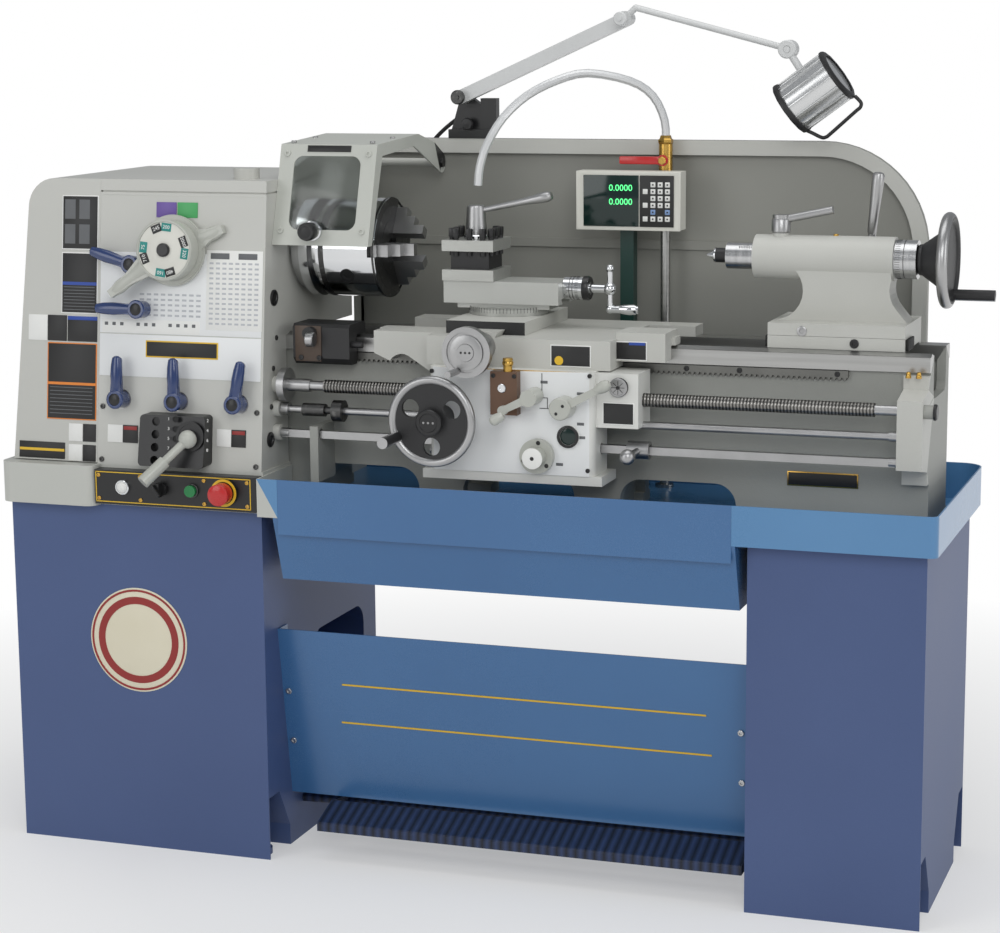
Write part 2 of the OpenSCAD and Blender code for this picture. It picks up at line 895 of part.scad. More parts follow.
module headstock() color(pale) place() {
  difference() {
    union() {
      along_x(bed_x, head_right)
        polygon([[front_y, face_z0], [front_at(head_top), head_top], [head_back, head_top],
          [head_back, way_z], [bed_y, way_z], [bed_y, face_z0]]);
      bar_x(head_right - over, head_right + sheet, axis_y, axis_z, bearing_r + lid_in);
      guard_bracket();
      gear_quadrant();
      gate();
      bar_y(head_back - over, head_back + gland_l, socket_x, socket_z, gland_r);
      bar_z(head_top - over, head_top + cap_h, cap_x, front_at(head_top) + cap_in, cap_r);
      for (z = [screw_z, feed_z, control_z])
        bar_x(head_right - over, head_right + rod_disc_gap, rod_y, z, journal_r + lid_in);
    }
    lid_seam();
    bar_x(bed_x - over, head_right + 2 * sheet, axis_y, axis_z, spindle_r + fit);
    bar_x(bed_x - over, head_right + rod_disc_gap + over, rod_y, screw_z, journal_r + fit);
    for (z = [feed_z, control_z])
      bar_x(head_right - lug_t, head_right + rod_disc_gap + over, rod_y, z, journal_r + fit);
    gate_pocket();
  }
  control_panel();
}

// Groove between the casting and its lid
module lid_seam() difference() {
  block(bed_x - over, head_right + over, front_y, head_back + over, head_top - lid_h,
      head_top - lid_h + sheet);
  block(bed_x + sheet, head_right - sheet, front_at(head_top - lid_h) + sheet, head_back - sheet,
    head_top - lid_h - over, head_top - lid_h + sheet + over);
}

// Lug and fixed pin that the chuck guard swings on
module guard_bracket() {
  along_x(head_right - lug_t, head_right)
    polygon([[head_back - lug_r, head_top - lug_r], [head_back, head_top - 1.6 * lug_r],
      [pivot_y + 0.8 * lug_r, pivot_z - lug_r], [pivot_y + 0.8 * lug_r, pivot_z + lug_r / 2],
      [pivot_y + lug_r / 3, pivot_z + lug_r], [pivot_y - lug_r, pivot_z + lug_r],
      [head_back - 1.6 * lug_r, head_top - over]]);
  bar_x(head_right - over, guard_x + guard_w, pivot_y, pivot_z, pivot_r);
}

// Plate with the stud of the idler gear
module gear_quadrant() {
  block(bed_x - quadrant_t, bed_x + over, idler_y - stud_r, idler_y + 2 * stud_r, way_z,
      idler_z + 3 * stud_r);
  bar_x(bed_x - quadrant_t - gear_x, bed_x - quadrant_t + over, idler_y, idler_z, stud_r);
}

module gate() intersection() {
  along_y(pan_front - gate_out, way_z)
    round_rect(gate_x, gate_x + gate_w, gate_z, gate_z + gate_h, hub_r / 2);
  along_x(gate_x - over, gate_x + gate_w + over)
    polygon([[front_at(gate_z) - gate_out, gate_z], [front_at(gate_z + gate_h) - gate_out * 0.8,
        gate_z + gate_h],
      [bed_y, gate_z + gate_h], [bed_y, gate_z]]);
}
module gate_pocket() {
  bar_y(front_y - 2 * gate_out, front_y - gate_out / 4, selector_x, selector_z, gate_slot_r);
  for (i = [0:3])
    bar_y(front_y - 2 * gate_out, front_y - gate_out / 2, gate_x + gate_w / 4,
      gate_z + (i + 0.5) * gate_h / 4, gate_slot_r / 3);
}

module control_panel() difference() {
  union() {
    block(bed_x + lid_in, head_right, front_y - panel_out, front_y, panel_z, panel_z + panel_h);
    bar_y(front_y - panel_out - collar_t, front_y, stop_x, switch_z, stop_collar_r);
  }
  for (s = [[switch_x, switch_r], [start_x, start_r], [stop_x, stop_r]])
    bar_y(front_y - panel_out - collar_t - over, front_y - panel_out + button_h + button_travel, s[0],
      switch_z, shank_share * s[1] + slip);
}

// Round push buttons and switch knobs on the control panel
module push_button(x, r, out, base) {
  face = front_y - panel_out;
  bar_y(face - out, face + button_h - slip, x, switch_z, shank_share * r);
  bar_y(face - out, face - base - button_travel - slip, x, switch_z, r);
}
module start_button() color([0.1, 0.45, 0.25]) place()
  push_button(start_x, start_r, button_travel + button_h, 0);
module stop_button() color([0.8, 0.1, 0.12]) place()
  push_button(stop_x, stop_r, collar_t + button_travel + knob_h, collar_t);
module mode_switch() color(black) place() {
  face = front_y - panel_out;
  bar_y(face - slip - button_h, face - slip, switch_x, switch_z, switch_r);
  bar_y(face - over, face + button_h - slip, switch_x, switch_z, shank_share * switch_r);
  block(switch_x - switch_r / 3, switch_x + switch_r / 3, face - knob_h, face - button_h,
    switch_z - switch_r, switch_z + switch_r);
}

// End cover, an open box that hangs on two hinges behind the headstock
module cover_profile(inset) {
  x1 = bed_x - slip + (inset > 0 ? over : 0);
  z0 = face_z0 + cover_gap + inset;
  top = head_top - inset;
  r = cover_r - inset;
  polygon(concat([[x1, z0], [x1, top]], arc(cover_x0 + cover_lean + inset + r, top - r, r, 90, 180),
    [[cover_x0 + inset, z0]]));
}
module end_cover() color(pale) place() {
  difference() {
    intersection() {
      along_y(front_y - over, head_back) cover_profile(0);
      along_x(cover_x0 - over, bed_x) polygon([[front_y, face_z0], [front_at(head_top), head_top],
        [head_back, head_top], [head_back, face_z0]]);
    }
    intersection() {
      along_y(front_y - over, head_back - cover_t) cover_profile(cover_t);
      along_x(cover_x0 - over, bed_x + over) polygon([[front_y + cover_t, face_z0],
        [front_at(head_top) + cover_t, head_top], [head_back, head_top], [head_back, face_z0]]);
    }
    bar_x(cover_x0 - over, cover_x0 + 2 * cover_lean, axis_y, axis_z, spindle_r + lid_in);
  }
  for (z = [face_z0 + hinge_z, head_top - hinge_z - hinge_l]) {
    bar_z(z, z + hinge_l, hinge_x, head_back + hinge_out, hinge_r);
    block(hinge_x - 2 * hinge_l / 3, hinge_x, head_back - over, head_back + sheet, z, z + hinge_l);
  }
}

// Levers of the headstock face
module face_lever(x, z, turn, length) on_front(x, z) {
  translate([0, 0, slip]) cylinder(h = hub_h, r = hub_r);
  translate([0, 0, slip + hub_h - lever_t - over]) rotate([0, 0, turn]) linear_extrude(lever_t) {
    polygon([[0, -lever_w0 / 2], [length, -lever_w1 / 2], [length, lever_w1 / 2], [0, lever_w0 / 2]]);
    translate([length, 0]) circle(0.52 * lever_w1);
  }
}
module thread_lever_upper() color(navy) place()
  face_lever(upper_lever_x, upper_lever_z, upper_turn, lever_l);
module thread_lever_lower() color(navy) place() face_lever(lever_x, lower_lever_z, 180, lever_l);
module feed_lever(i) color(navy) place() face_lever(feed_lever_xs[i], feed_hub_z, feed_turns[i],
    feed_lever_l);
module feed_lever_left() feed_lever(0);
module feed_lever_middle() feed_lever(1);
module feed_lever_right() feed_lever(2);

// Two rings on one centre: the outer one picks the range, the front dial picks the speed
module range_lever() color([0.7, 0.7, 0.67]) place() on_front(dial_x, dial_z) {
  difference() {
    translate([0, 0, slip]) cylinder(h = ring_t, r = dial_ring_r);
    translate([0, 0, -over]) cylinder(h = ring_t + 3 * over, r = hub_r + slip);
  }
  translate([0, 0, over]) rotate([0, 0, ring_turn])
    dial_arm_shape(dial_ring_r - lever_t, ring_arm, ring_t - 2 * over);
}
module dial_arm_shape(start, end, top) translate([0, 0, slip])
  linear_extrude(top) polygon([[start, -lever_w0], [(start + end) / 2, -lever_w0 / 2], [end, -lever_w1 / 2],
    [end, lever_w1 / 2], [(start + end) / 2, lever_w0 / 2], [start, lever_w0]]);
module speed_dial() color([0.8, 0.8, 0.78]) place() on_front(dial_x, dial_z) {
  translate([0, 0, slip]) cylinder(h = ring_t + dial_t, r = hub_r);
  translate([0, 0, ring_t + 2 * slip]) cylinder(h = dial_t, r = dial_r);
  translate([0, 0, hub_h + over]) rotate([0, 0, dial_turn])
      dial_arm_shape(dial_r - lever_t, dial_arm, lever_t);
}

// Selector lever, leaning down and out of its gate
module selector_lever() color(bright) place() translate([selector_x, selector_y, selector_z]) {
  sphere(selector_ball_r);
  rotate([90 + selector_lean, 0, -selector_side]) {
    cylinder(h = selector_l, r = selector_r);
    translate([0, 0, selector_l - selector_grip_l]) cylinder(h = selector_grip_l, r = selector_grip_r);
  }
}

module spindle() color(bright) place() {
  difference() {
    union() {
      bar_x(spindle_x0, head_right + 2 * slip + sheet, axis_y, axis_z, spindle_r);
      bar_x(head_right + sheet + slip, chuck_x, axis_y, axis_z, flange_r - 2 * lid_in);
      translate([0, axis_y, axis_z])
        gear_x_axis(gear_x0, gear_x0 + gear_t, tooth_size * spindle_teeth, spindle_teeth);
    }
    bar_x(spindle_x0 - over, chuck_x + over, axis_y, axis_z, spindle_bore / 2);
  }
}
module idler_gear() color([0.55, 0.55, 0.5]) place() difference() {
  translate([0, idler_y, idler_z]) rotate([idler_turn, 0, 0])
    gear_x_axis(gear_x0, gear_x0 + gear_t, idler_r, idler_teeth);
  bar_x(gear_x0 - over, gear_x0 + gear_t + over, idler_y, idler_z, stud_r + fit);
  for (i = [0:4])
    translate([0, idler_y, idler_z]) rotate([i * 72, 0, 0])
      bar_x(gear_x0 - over, gear_x0 + gear_t + over, 0, 0.58 * idler_r, 0.2 * idler_r);
}

// Three-jaw chuck with its backplate
jaw_angles = [60, 180, 300];
module chuck_body() color([0.6, 0.6, 0.6]) place() difference() {
  union() {
    bar_x(chuck_x, chuck_x + flange_t + sheet, axis_y, axis_z, chuck_d / 2);
    bar_x(chuck_x, chuck_x + chuck_neck + over, axis_y, axis_z, chuck_d / 2 - 2 * lid_in);
    bar_x(chuck_x + chuck_neck, chuck_x + chuck_neck + chuck_l, axis_y, axis_z, chuck_d / 2);
  }
  bar_x(chuck_x - over, chuck_x + chuck_neck + chuck_l + over, axis_y, axis_z, spindle_bore / 2);
  translate([0, axis_y, axis_z]) for (a = jaw_angles) {
    rotate([a, 0, 0]) block(chuck_face - jaw_base - slip, chuck_face + over, jaw_in - jaw_travel, chuck_d,
      -jaw_w / 2 - slip, jaw_w / 2 + slip);
    rotate([a + 60, 0, 0])
      bar_z(chuck_d / 2 - key_depth, chuck_d / 2 + over, chuck_x + chuck_neck + chuck_l / 2, 0, key_r);
  }
}
module chuck_jaw(a) color([0.5, 0.5, 0.5]) place() translate([0, axis_y, axis_z]) rotate([a, 0, 0])
  along_z_jaw();
module along_z_jaw() translate([0, 0, -jaw_w / 2]) linear_extrude(jaw_w)
  polygon([[chuck_face - jaw_base, jaw_in], [chuck_face + jaw_l, jaw_in],
      [chuck_face + jaw_l, jaw_in + jaw_step],
    [chuck_face + 0.66 * jaw_l, jaw_in + jaw_step], [chuck_face + 0.66 * jaw_l, jaw_in + 2 * jaw_step],
    [chuck_face + 0.36 * jaw_l, jaw_in + 2 * jaw_step], [chuck_face + 0.36 * jaw_l, jaw_in + 3 * jaw_step],
    [chuck_face - jaw_base, jaw_in + 3 * jaw_step]]);
module chuck_jaw_1() chuck_jaw(jaw_angles[0]);
module chuck_jaw_2() chuck_jaw(jaw_angles[1]);
module chuck_jaw_3() chuck_jaw(jaw_angles[2]);

// Chuck guard: windowed front, flat top and an arched arm at each end
module chuck_guard() color(pale) place() {
  x1 = guard_x + guard_w;
  difference() {
    along_x(guard_x, x1) polygon([[guard_low_y, guard_low_z], [guard_top_y, guard_top_z],
      [arm_bend_y, guard_top_z + arm_camber], [arm_bend_y, guard_top_z + arm_camber - guard_t],
      [guard_top_y + guard_t, guard_top_z - guard_t], [guard_low_y + guard_t, guard_low_z]]);
    along_y(guard_low_y - over, guard_top_y + window_w)
      round_rect(guard_x + (guard_w - window_w) / 2, guard_x + (guard_w + window_w) / 2,
        window_z, window_z + window_h, window_r);
  }
  for (x = [guard_x, x1 - guard_t]) difference() {
    along_x(x, x + guard_t) guard_side();
    bar_x(x - over, x + guard_t + over, pivot_y, pivot_z, pivot_r + fit);
  }
  bar_y(guard_low_y - guard_knob_h, guard_low_y + guard_knob_h / 4, guard_x + 0.42 * guard_w,
      guard_low_z + guard_knob_up,
    guard_knob_r / 2);
  bar_y(guard_low_y - guard_knob_h, guard_low_y - guard_knob_h / 3, guard_x + 0.42 * guard_w,
      guard_low_z + guard_knob_up,
    guard_knob_r);
}
module guard_side() {
  edge = 2 * lid_in;
  polygon(concat([[guard_low_y, guard_low_z], [guard_top_y, guard_top_z],
    [arm_bend_y, guard_top_z + arm_camber], [pivot_y - 2 * arm_end_r, guard_top_z - arm_camber]],
    arc(pivot_y, pivot_z, arm_end_r, 60, -120, 6),
    [[arm_bend_y + edge, guard_top_z - 2.2 * edge], [arm_bend_y - 2 * edge, guard_top_z - edge],
    [guard_top_y + 2 * edge, guard_top_z - 1.8 * edge], [guard_low_y + 1.6 * edge, guard_low_z]]));
}

// Rods along the front of the bed
module leadscrew() color(steel) place() {
  x0 = gear_x0 - sheet;
  bar_x(x0, rod_right, rod_y, screw_z, journal_r);
  bar_x(screw_x0, screw_x1, rod_y, screw_z, leadscrew_d / 2);
  bar_x(rod_disc_x, rod_disc_x + rod_disc_t, rod_y, screw_z, rod_disc_r);
  bar_x(rod_disc_x, screw_x0 - 2 * rod_disc_t, rod_y, screw_z, leadscrew_d / 2);
  translate([0, rod_y, screw_z]) rotate([screw_turn, 0, 0])
    gear_x_axis(gear_x0, gear_x0 + gear_t, tooth_size * screw_teeth, screw_teeth);
}
module feed_rod() color(steel) place() {
  x0 = head_right - lug_t + slip;
  bar_x(x0, rod_disc_x + rod_disc_t, rod_y, feed_z, journal_r);
  bar_x(x0 + over, rod_right - over, rod_y, feed_z, feed_rod_d / 2);
  bar_x(bed_right - end_bracket_w - rod_disc_t, rod_right, rod_y, feed_z, journal_r);
  bar_x(rod_disc_x, rod_disc_x + rod_disc_t, rod_y, feed_z, journal_r + sheet);
  bar_x(rod_disc_x + 3 * rod_disc_t, screw_x0, rod_y, feed_z, journal_r + sheet);
  bar_x(clutch_x, clutch_x + clutch_l, rod_y, feed_z, clutch_r);
}
module control_rod() color(steel) place() {
  x0 = head_right - lug_t + slip;
  half = control_rod_w / 2;
  bar_x(x0, rod_disc_x + rod_disc_t, rod_y, control_z, journal_r);
  block(rod_disc_x, bed_right - end_bracket_w - sheet, rod_y - half, rod_y + half, control_z - half,
    control_z + half);
  bar_x(bed_right - end_bracket_w - rod_disc_t, rod_right, rod_y, control_z, journal_r);
}
// Lever that turns the control rod and rides along with the apron
module control_lever() color(black) place() {
  difference() {
    union() {
      bar_x(control_x - control_hub_l / 2, control_x + control_hub_l / 2, rod_y, control_z, hub_r);
      bar_y(rod_y - control_reach, rod_y, control_x, control_z, lever_t / 2);
    }
    bar_x(control_x - control_hub_l, control_x + control_hub_l, rod_y, control_z, control_bore_r);
  }
  translate([control_x, rod_y - control_reach, control_z]) sphere(hub_r * 0.85);
}

module carriage_stop() color([0.35, 0.25, 0.2]) place() {
  x1 = stop_block_x + stop_block_w;
  top = stop_block_z + stop_block_h;
  along_x(stop_block_x, x1)
    polygon([[stop_block_y, stop_block_z + 2 * lid_in], [stop_block_y + 2 * lid_in, stop_block_z],
      [bed_y - sheet, stop_block_z], [bed_y - sheet, vee_z + slip], [bed_y + way_w, vee_z + slip],
      [bed_y + way_w, top - lid_in], [bed_y + way_w - lid_in, top], [stop_block_y + lid_in, top],
      [stop_block_y, top - lid_in]]);
  bar_x(x1 - over, x1 + stop_rod_l, stop_block_y + stop_rod_in, stop_block_z + stop_block_h / 2,
      stop_rod_r);
  bar_y(stop_block_y - stop_rod_in, stop_block_y + over, stop_block_x + stop_block_w / 3, top - stop_rod_in,
    stop_rod_r * 2);
}

// Dovetail of a slide, or the groove over it when grown
module dovetail(x0, x1, z0, grow) polygon([
  [x0 + dovetail_in - 2 * grow, z0], [x0 - 2 * grow, z0 + dovetail_h + grow],
  [x1 + 2 * grow, z0 + dovetail_h + grow], [x1 - dovetail_in + 2 * grow, z0]]);

module saddle() color(cream) place() difference() {
  far = bed_y + bed_w;
  union() {
    block(saddle_x0, saddle_x1, saddle_front, bed_y - slip, apron_top, saddle_top);
    block(saddle_x0, saddle_x1, bed_y - slip - over, saddle_back, saddle_z, saddle_top);
    block(wing_left, wing_right, far - way_w, saddle_back, saddle_z, saddle_top);
    block(wing_left, wing_right, far - way_w, saddle_back, way_z + slip, saddle_z + over);
    block(wing_left, wing_right, far + slip, saddle_back, way_z - way_h, way_z + slip + over);
    wing(wing_left, saddle_x0 + over);
    block(saddle_x1 - over, wing_right, saddle_front + wing_in, bed_y - slip, way_z - way_h + lid_in,
      saddle_top + 2 * lid_in);
    block(saddle_x1 - over, wing_right, bed_y - slip - over, bed_y + way_w, saddle_z,
        saddle_top + 2 * lid_in);
    along_y(saddle_front + over, saddle_back) dovetail(tail_x0, tail_x1, saddle_top, 0);
    for (x = [wing_left - wiper_t, wing_right - over])
      block(x, x + wiper_t + over, bed_y + lid_in, bed_y + way_w, vee_z + slip, saddle_top);
  }
  bar_y(saddle_front - over, saddle_front + cross_shaft_in, cross_wheel_x, cross_wheel_z, journal_r + fit);
}
// Left wing of the saddle with its curved lower edge
module wing(x0, x1) {
  drop = way_z + slip - wing_drop;
  along_y(saddle_front + wing_in, bed_y - slip)
    polygon(concat([[x1, saddle_top], [x0, saddle_top], [x0, drop + wing_drop / 2]],
      arc(x0 + wing_r, drop + wing_drop / 2 - wing_r / 2, wing_r / 2, 150, 60, 5),
      [[x1, drop - wing_drop / 3]]));
  block(x0, x1, bed_y - slip - over, bed_y + way_w, saddle_z, saddle_top);
}

module apron() color(cream) place() difference() {
  x1 = apron_x + apron_w;
  union() {
    translate([0, 0, apron_z]) linear_extrude(apron_h)
      round_rect(apron_x, x1, apron_front, apron_back, skirt_out);
    block(apron_x - skirt_out, x1 + skirt_out, apron_front + sheet, apron_back - sheet, apron_z - skirt_h,
      apron_z);
    block(x1 - over, dial_box_x + dial_box_w, dial_box_y, apron_back - sheet, dial_box_z,
      dial_box_z + dial_box_h);
    block(pump_x0, pump_x0 + pump_w, apron_front - pump_out, apron_front + over, pump_z, pump_z + pump_h);
    bar_z(pump_z + pump_h - over, pump_z + pump_h + pump_knob_l, pump_x0 + 0.6 * pump_w,
      apron_front - pump_out / 2, pump_knob_r);
    bar_y(apron_front - sight_t, apron_front + over, sight_x, sight_z, sight_r);
  }
  bar_y(apron_front - sight_t - over, apron_front - sight_t / 2, sight_x, sight_z, 0.75 * sight_r);
  bar_x(apron_x - 2 * skirt_out, dial_box_x + dial_box_w + over, rod_y, screw_z, leadscrew_d / 2 + slip);
  bar_x(apron_x - 2 * skirt_out, dial_box_x + dial_box_w + over, rod_y, feed_z, feed_rod_d / 2 + slip);
  bar_x(apron_x - 2 * skirt_out, dial_box_x + dial_box_w + over, rod_y, control_z, control_bore_r);
  for (s = [[wheel_x, wheel_z], [feed_lever_x, feed_lever_z], [half_nut_x, half_nut_z],
      [feed_knob_x, feed_knob_z]])
    bar_y(apron_front - over, apron_front + shaft_in, s[0], s[1], journal_r + fit);
  bar_y(dial_box_y - over, dial_box_y + shaft_in / 2, thread_dial_x, thread_dial_z, journal_r / 2 + fit);
}

// A spoked handwheel lying in the XY plane with its face up
module handwheel(r, rim, web, windows, grip_r, grip_l) {
  rotate_extrude() translate([r - rim, 0]) circle(rim, $fn = 24);
  difference() {
    translate([0, 0, -web / 2]) cylinder(h = web, r = r - rim);
    for (i = [0:windows - 1]) rotate([0, 0, i * 360 / windows + 30])
      translate([0.55 * r, 0, -web]) cylinder(h = 2 * web, r = 0.2 * r);
  }
  rotate([0, 0, grip_turn]) translate([r - 1.2 * rim, 0, 0]) cylinder(h = grip_l, r = grip_r);
}

module apron_handwheel() color(bright) place() {
  translate([wheel_x, wheel_y, wheel_z]) rotate([90, 0, 0])
    handwheel(apron_wheel_d / 2, wheel_rim_r, wheel_web_t, wheel_windows, wheel_handle_r, wheel_handle_l);
  bar_y(wheel_y - wheel_web_t, apron_front - slip, wheel_x, wheel_z, wheel_hub_r);
  bar_y(apron_front - over, apron_front + shaft_in - slip, wheel_x, wheel_z, journal_r);
}
module cross_slide_wheel() color(bright) place() {
  translate([cross_wheel_x, cross_wheel_y, cross_wheel_z]) rotate([90, 0, 0]) difference() {
    cylinder(h = cross_wheel_t, r = cross_wheel_d / 2);
    translate([0, 0, cross_wheel_t - sheet]) difference() {
      cylinder(h = cross_wheel_t, r = 0.8 * cross_wheel_d / 2);
      translate([0, 0, -over]) cylinder(h = cross_wheel_t, r = 0.35 * cross_wheel_d / 2);
    }
  }
  bar_y(cross_wheel_y, saddle_front - slip, cross_wheel_x, cross_wheel_z, cross_collar_r * 0.7);
  bar_y(saddle_front - slip - cross_collar_l, saddle_front - slip, cross_wheel_x, cross_wheel_z,
      cross_collar_r);
  bar_y(saddle_front - over, saddle_front + cross_shaft_in - slip, cross_wheel_x, cross_wheel_z, journal_r);
  translate([cross_wheel_x, cross_wheel_y, cross_wheel_z]) rotate([90, 0, 0])
      rotate([0, 0, cross_grip_turn])
    translate([0.84 * cross_wheel_d / 2, 0, cross_wheel_t - over])
        cylinder(h = cross_handle_l, r = cross_handle_r);
}

module cross_slide() color(cream) place() difference() {
  union() {
    block(cross_x, cross_x + cross_slide_w, cross_y0, cross_y0 + cross_l, slide_z, slide_z + cross_slide_h);
    bar_z(slide_z + over, swivel_z + swivel_h / 2, swivel_x, axis_y, swivel_pin_r);
  }
  along_y(cross_y0 - over, cross_y0 + cross_l + over) dovetail(tail_x0, tail_x1, saddle_top, slip);
}
module compound_base() color(bright) place() difference() {
  union() {
    bar_z(swivel_z + slip, compound_z, swivel_x, axis_y, swivel_d / 2);
    block(compound_base_x, compound_base_x + compound_base_l, axis_y - 0.4 * compound_w,
      axis_y + 0.4 * compound_w, compound_z - over, compound_z + base_plate_h);
    along_x(compound_base_x, compound_base_x + compound_base_l)
      dovetail(axis_y - 0.28 * compound_w, axis_y + 0.28 * compound_w, compound_z + base_plate_h, 0);
  }
  bar_z(swivel_z - over, swivel_z + swivel_h / 2 + slip, swivel_x, axis_y, swivel_pin_r + fit);
}
module compound_slide() color(cream) place() {
  x1 = compound_x + compound_l;
  difference() {
    block(compound_x, x1, axis_y - compound_w / 2, axis_y + compound_w / 2, slide_low_z, compound_top);
    along_x(compound_x - over, x1 + over)
      dovetail(axis_y - 0.28 * compound_w, axis_y + 0.28 * compound_w, compound_z + base_plate_h, slip);
    bar_x(x1 - crank_in, x1 + over, axis_y, crank_z, crank_shaft_r + fit);
  }
  bar_z(compound_top - over, post_z + 2 * plate_h + core_h + post_hub_h / 2, post_x, axis_y, post_stud_r);
}
// Ball crank of the compound slide, with a graduated collar behind it
module compound_crank() color(bright) place() {
  x1 = compound_x + compound_l;
  bar_x(x1 - crank_in + slip, crank_x, axis_y, crank_z, crank_shaft_r);
  bar_x(x1 + slip, x1 + crank_collar_l, axis_y, crank_z, crank_collar_r);
  translate([crank_x, axis_y, crank_z]) sphere(1.5 * crank_ball_r);
  for (s = [-1, 1]) {
    bar_z(crank_z + min(0, s * crank_arm), crank_z + max(0, s * crank_arm), crank_x, axis_y,
        0.7 * crank_ball_r);
    translate([crank_x, axis_y, crank_z + s * crank_arm]) sphere(crank_ball_r);
  }
  bar_x(crank_x, crank_x + crank_grip_l, axis_y, crank_z - crank_arm, 0.9 * crank_ball_r);
}

module tool_post() color(steel) place() {
  half = tool_post_w / 2;
  top_z = post_z + slip + plate_h + core_h;
  difference() {
    union() {
      block(post_x - half, post_x + half, axis_y - half, axis_y + half, post_z + slip,
          post_z + slip + plate_h);
      block(post_x - core_w / 2, post_x + core_w / 2, axis_y - core_w / 2, axis_y + core_w / 2,
        post_z + plate_h, top_z + over);
      block(post_x - half, post_x + half, axis_y - half, axis_y + half, top_z, top_z + plate_h);
      for (a = [0:90:270]) translate([post_x, axis_y, 0]) rotate([0, 0, a])
        for (u = [-1, 0, 1])
          bar_z(top_z - post_screw_h / 2, top_z + plate_h + post_screw_h, u * (half - 2 * post_screw_in),
            post_screw_in - half, post_screw_r);
    }
    bar_z(post_z - over, top_z + 2 * plate_h, post_x, axis_y, post_stud_r + fit);
  }
}
module tool_post_lever() color(bright) place() {
  z0 = post_z + 2 * slip + 2 * plate_h + core_h;
  difference() {
    translate([post_x, axis_y, z0]) cylinder(h = post_hub_h, r1 = post_hub_r, r2 = 0.8 * post_hub_r);
    bar_z(z0 - over, z0 + post_hub_h / 2 + over, post_x, axis_y, post_stud_r + fit);
  }
  translate([post_x, axis_y, z0 + 0.85 * post_hub_h]) rotate([0, 90 - post_lever_lift, 0])
    cylinder(h = post_lever_l, r1 = 0.7 * post_lever_r, r2 = post_lever_r);
}

// Levers on the flat apron face, turning about Y
module apron_lever(x, z, r, length, turn, reach) {
  bar_y(apron_front - reach, apron_front - slip, x, z, r);
  bar_y(apron_front - over, apron_front + shaft_in - slip, x, z, journal_r);
  translate([x, apron_front - reach + lever_t + over, z]) rotate([90, 0, 0]) rotate([0, 0, turn])
    linear_extrude(lever_t) {
      polygon([[0, -lever_w1 / 2], [length, -lever_t / 2], [length, lever_t / 2], [0, lever_w1 / 2]]);
      translate([length, 0]) circle(0.7 * lever_t);
    }
}
module apron_feed_lever() color(steel) place()
  apron_lever(feed_lever_x, feed_lever_z, lever_w1, feed_lever_len, feed_lever_turn,
      pump_out + 2 * lever_t);
module half_nut_lever() color(steel) place()
  apron_lever(half_nut_x, half_nut_z, half_nut_r, half_nut_len, half_nut_turn, pump_out + lever_t);
module feed_knob() color(black) place() {
  bar_y(apron_front - slip - feed_knob_t, apron_front - slip, feed_knob_x, feed_knob_z, feed_knob_r);
  bar_y(apron_front - slip - feed_knob_t - feed_cap_t, apron_front - slip, feed_knob_x, feed_knob_z,
      feed_cap_r);
  bar_y(apron_front - over, apron_front + shaft_in - slip, feed_knob_x, feed_knob_z, journal_r);
}
module thread_dial() color([0.8, 0.8, 0.8]) place() {
  bar_y(dial_box_y - slip - lid_in, dial_box_y - slip, thread_dial_x, thread_dial_z, thread_dial_r);
  bar_y(dial_box_y - over, dial_box_y + shaft_in / 2 - slip, thread_dial_x, thread_dial_z, journal_r / 2);
}

// Tailstock: split base, cast web and round barrel
module tailstock() color(cream) place() difference() {
  x1 = tail_base_x + tail_base_l;
  far = bed_y + bed_w;
  union() {
    block(tail_base_x, x1, tail_base_y, tail_base_y + tail_base_d, tail_z, tail_base_top);
    block(tail_base_x, x1, far - way_w, tail_base_y + tail_base_d, way_z + slip, tail_z + over);
    block(tail_base_x + bed_wall, x1 - bed_wall, bed_y + way_w + slip, far - way_w - slip,
      way_z - way_h, tail_z + over);
    along_y(axis_y - 0.42 * barrel_d, axis_y + 0.42 * barrel_d) web_profile(x1);
    bar_x(barrel_x, barrel_x + barrel_l, axis_y, axis_z, barrel_d / 2);
    bar_z(axis_z, axis_z + barrel_d / 2 + sheet, lock_x, axis_y, lock_r);
    bar_y(axis_y + 0.42 * barrel_d - over, clamp_y - slip, clamp_x, clamp_z, 2 * clamp_r);
  }
  bar_x(barrel_x - over, barrel_x + barrel_l - sheet, axis_y, axis_z, quill_d / 2 + fit);
  bar_x(barrel_x, barrel_x + barrel_l + over, axis_y, axis_z, journal_r + fit);
  bar_z(axis_z + quill_d / 2, axis_z + barrel_d, lock_x, axis_y, journal_r / 2 + fit);
  bar_y(clamp_y - 2 * clamp_r, clamp_y, clamp_x, clamp_z, clamp_r + fit);
  block(tail_base_x - over, x1 + over, tail_base_y - over, tail_base_y + sheet,
      tail_z + tail_base_h / 2 - slip,
    tail_z + tail_base_h / 2 + slip);
}
module web_profile(x1) polygon(concat(
  [[tail_base_x + lid_in, tail_base_top - over], [tail_base_x + lid_in, tail_base_top]],
  arc(tail_base_x, tail_base_top + tail_web_r, tail_web_r, -70, 40, 8),
  [[barrel_x + 0.2 * barrel_l, axis_z], [barrel_x + barrel_l - lid_in, axis_z]],
  arc(barrel_x + barrel_l + 0.9 * tail_web_r, axis_z - tail_web_r, tail_web_r, 160, 220, 6),
  [[x1 - lid_in, tail_base_top], [x1 - lid_in, tail_base_top - over]]));

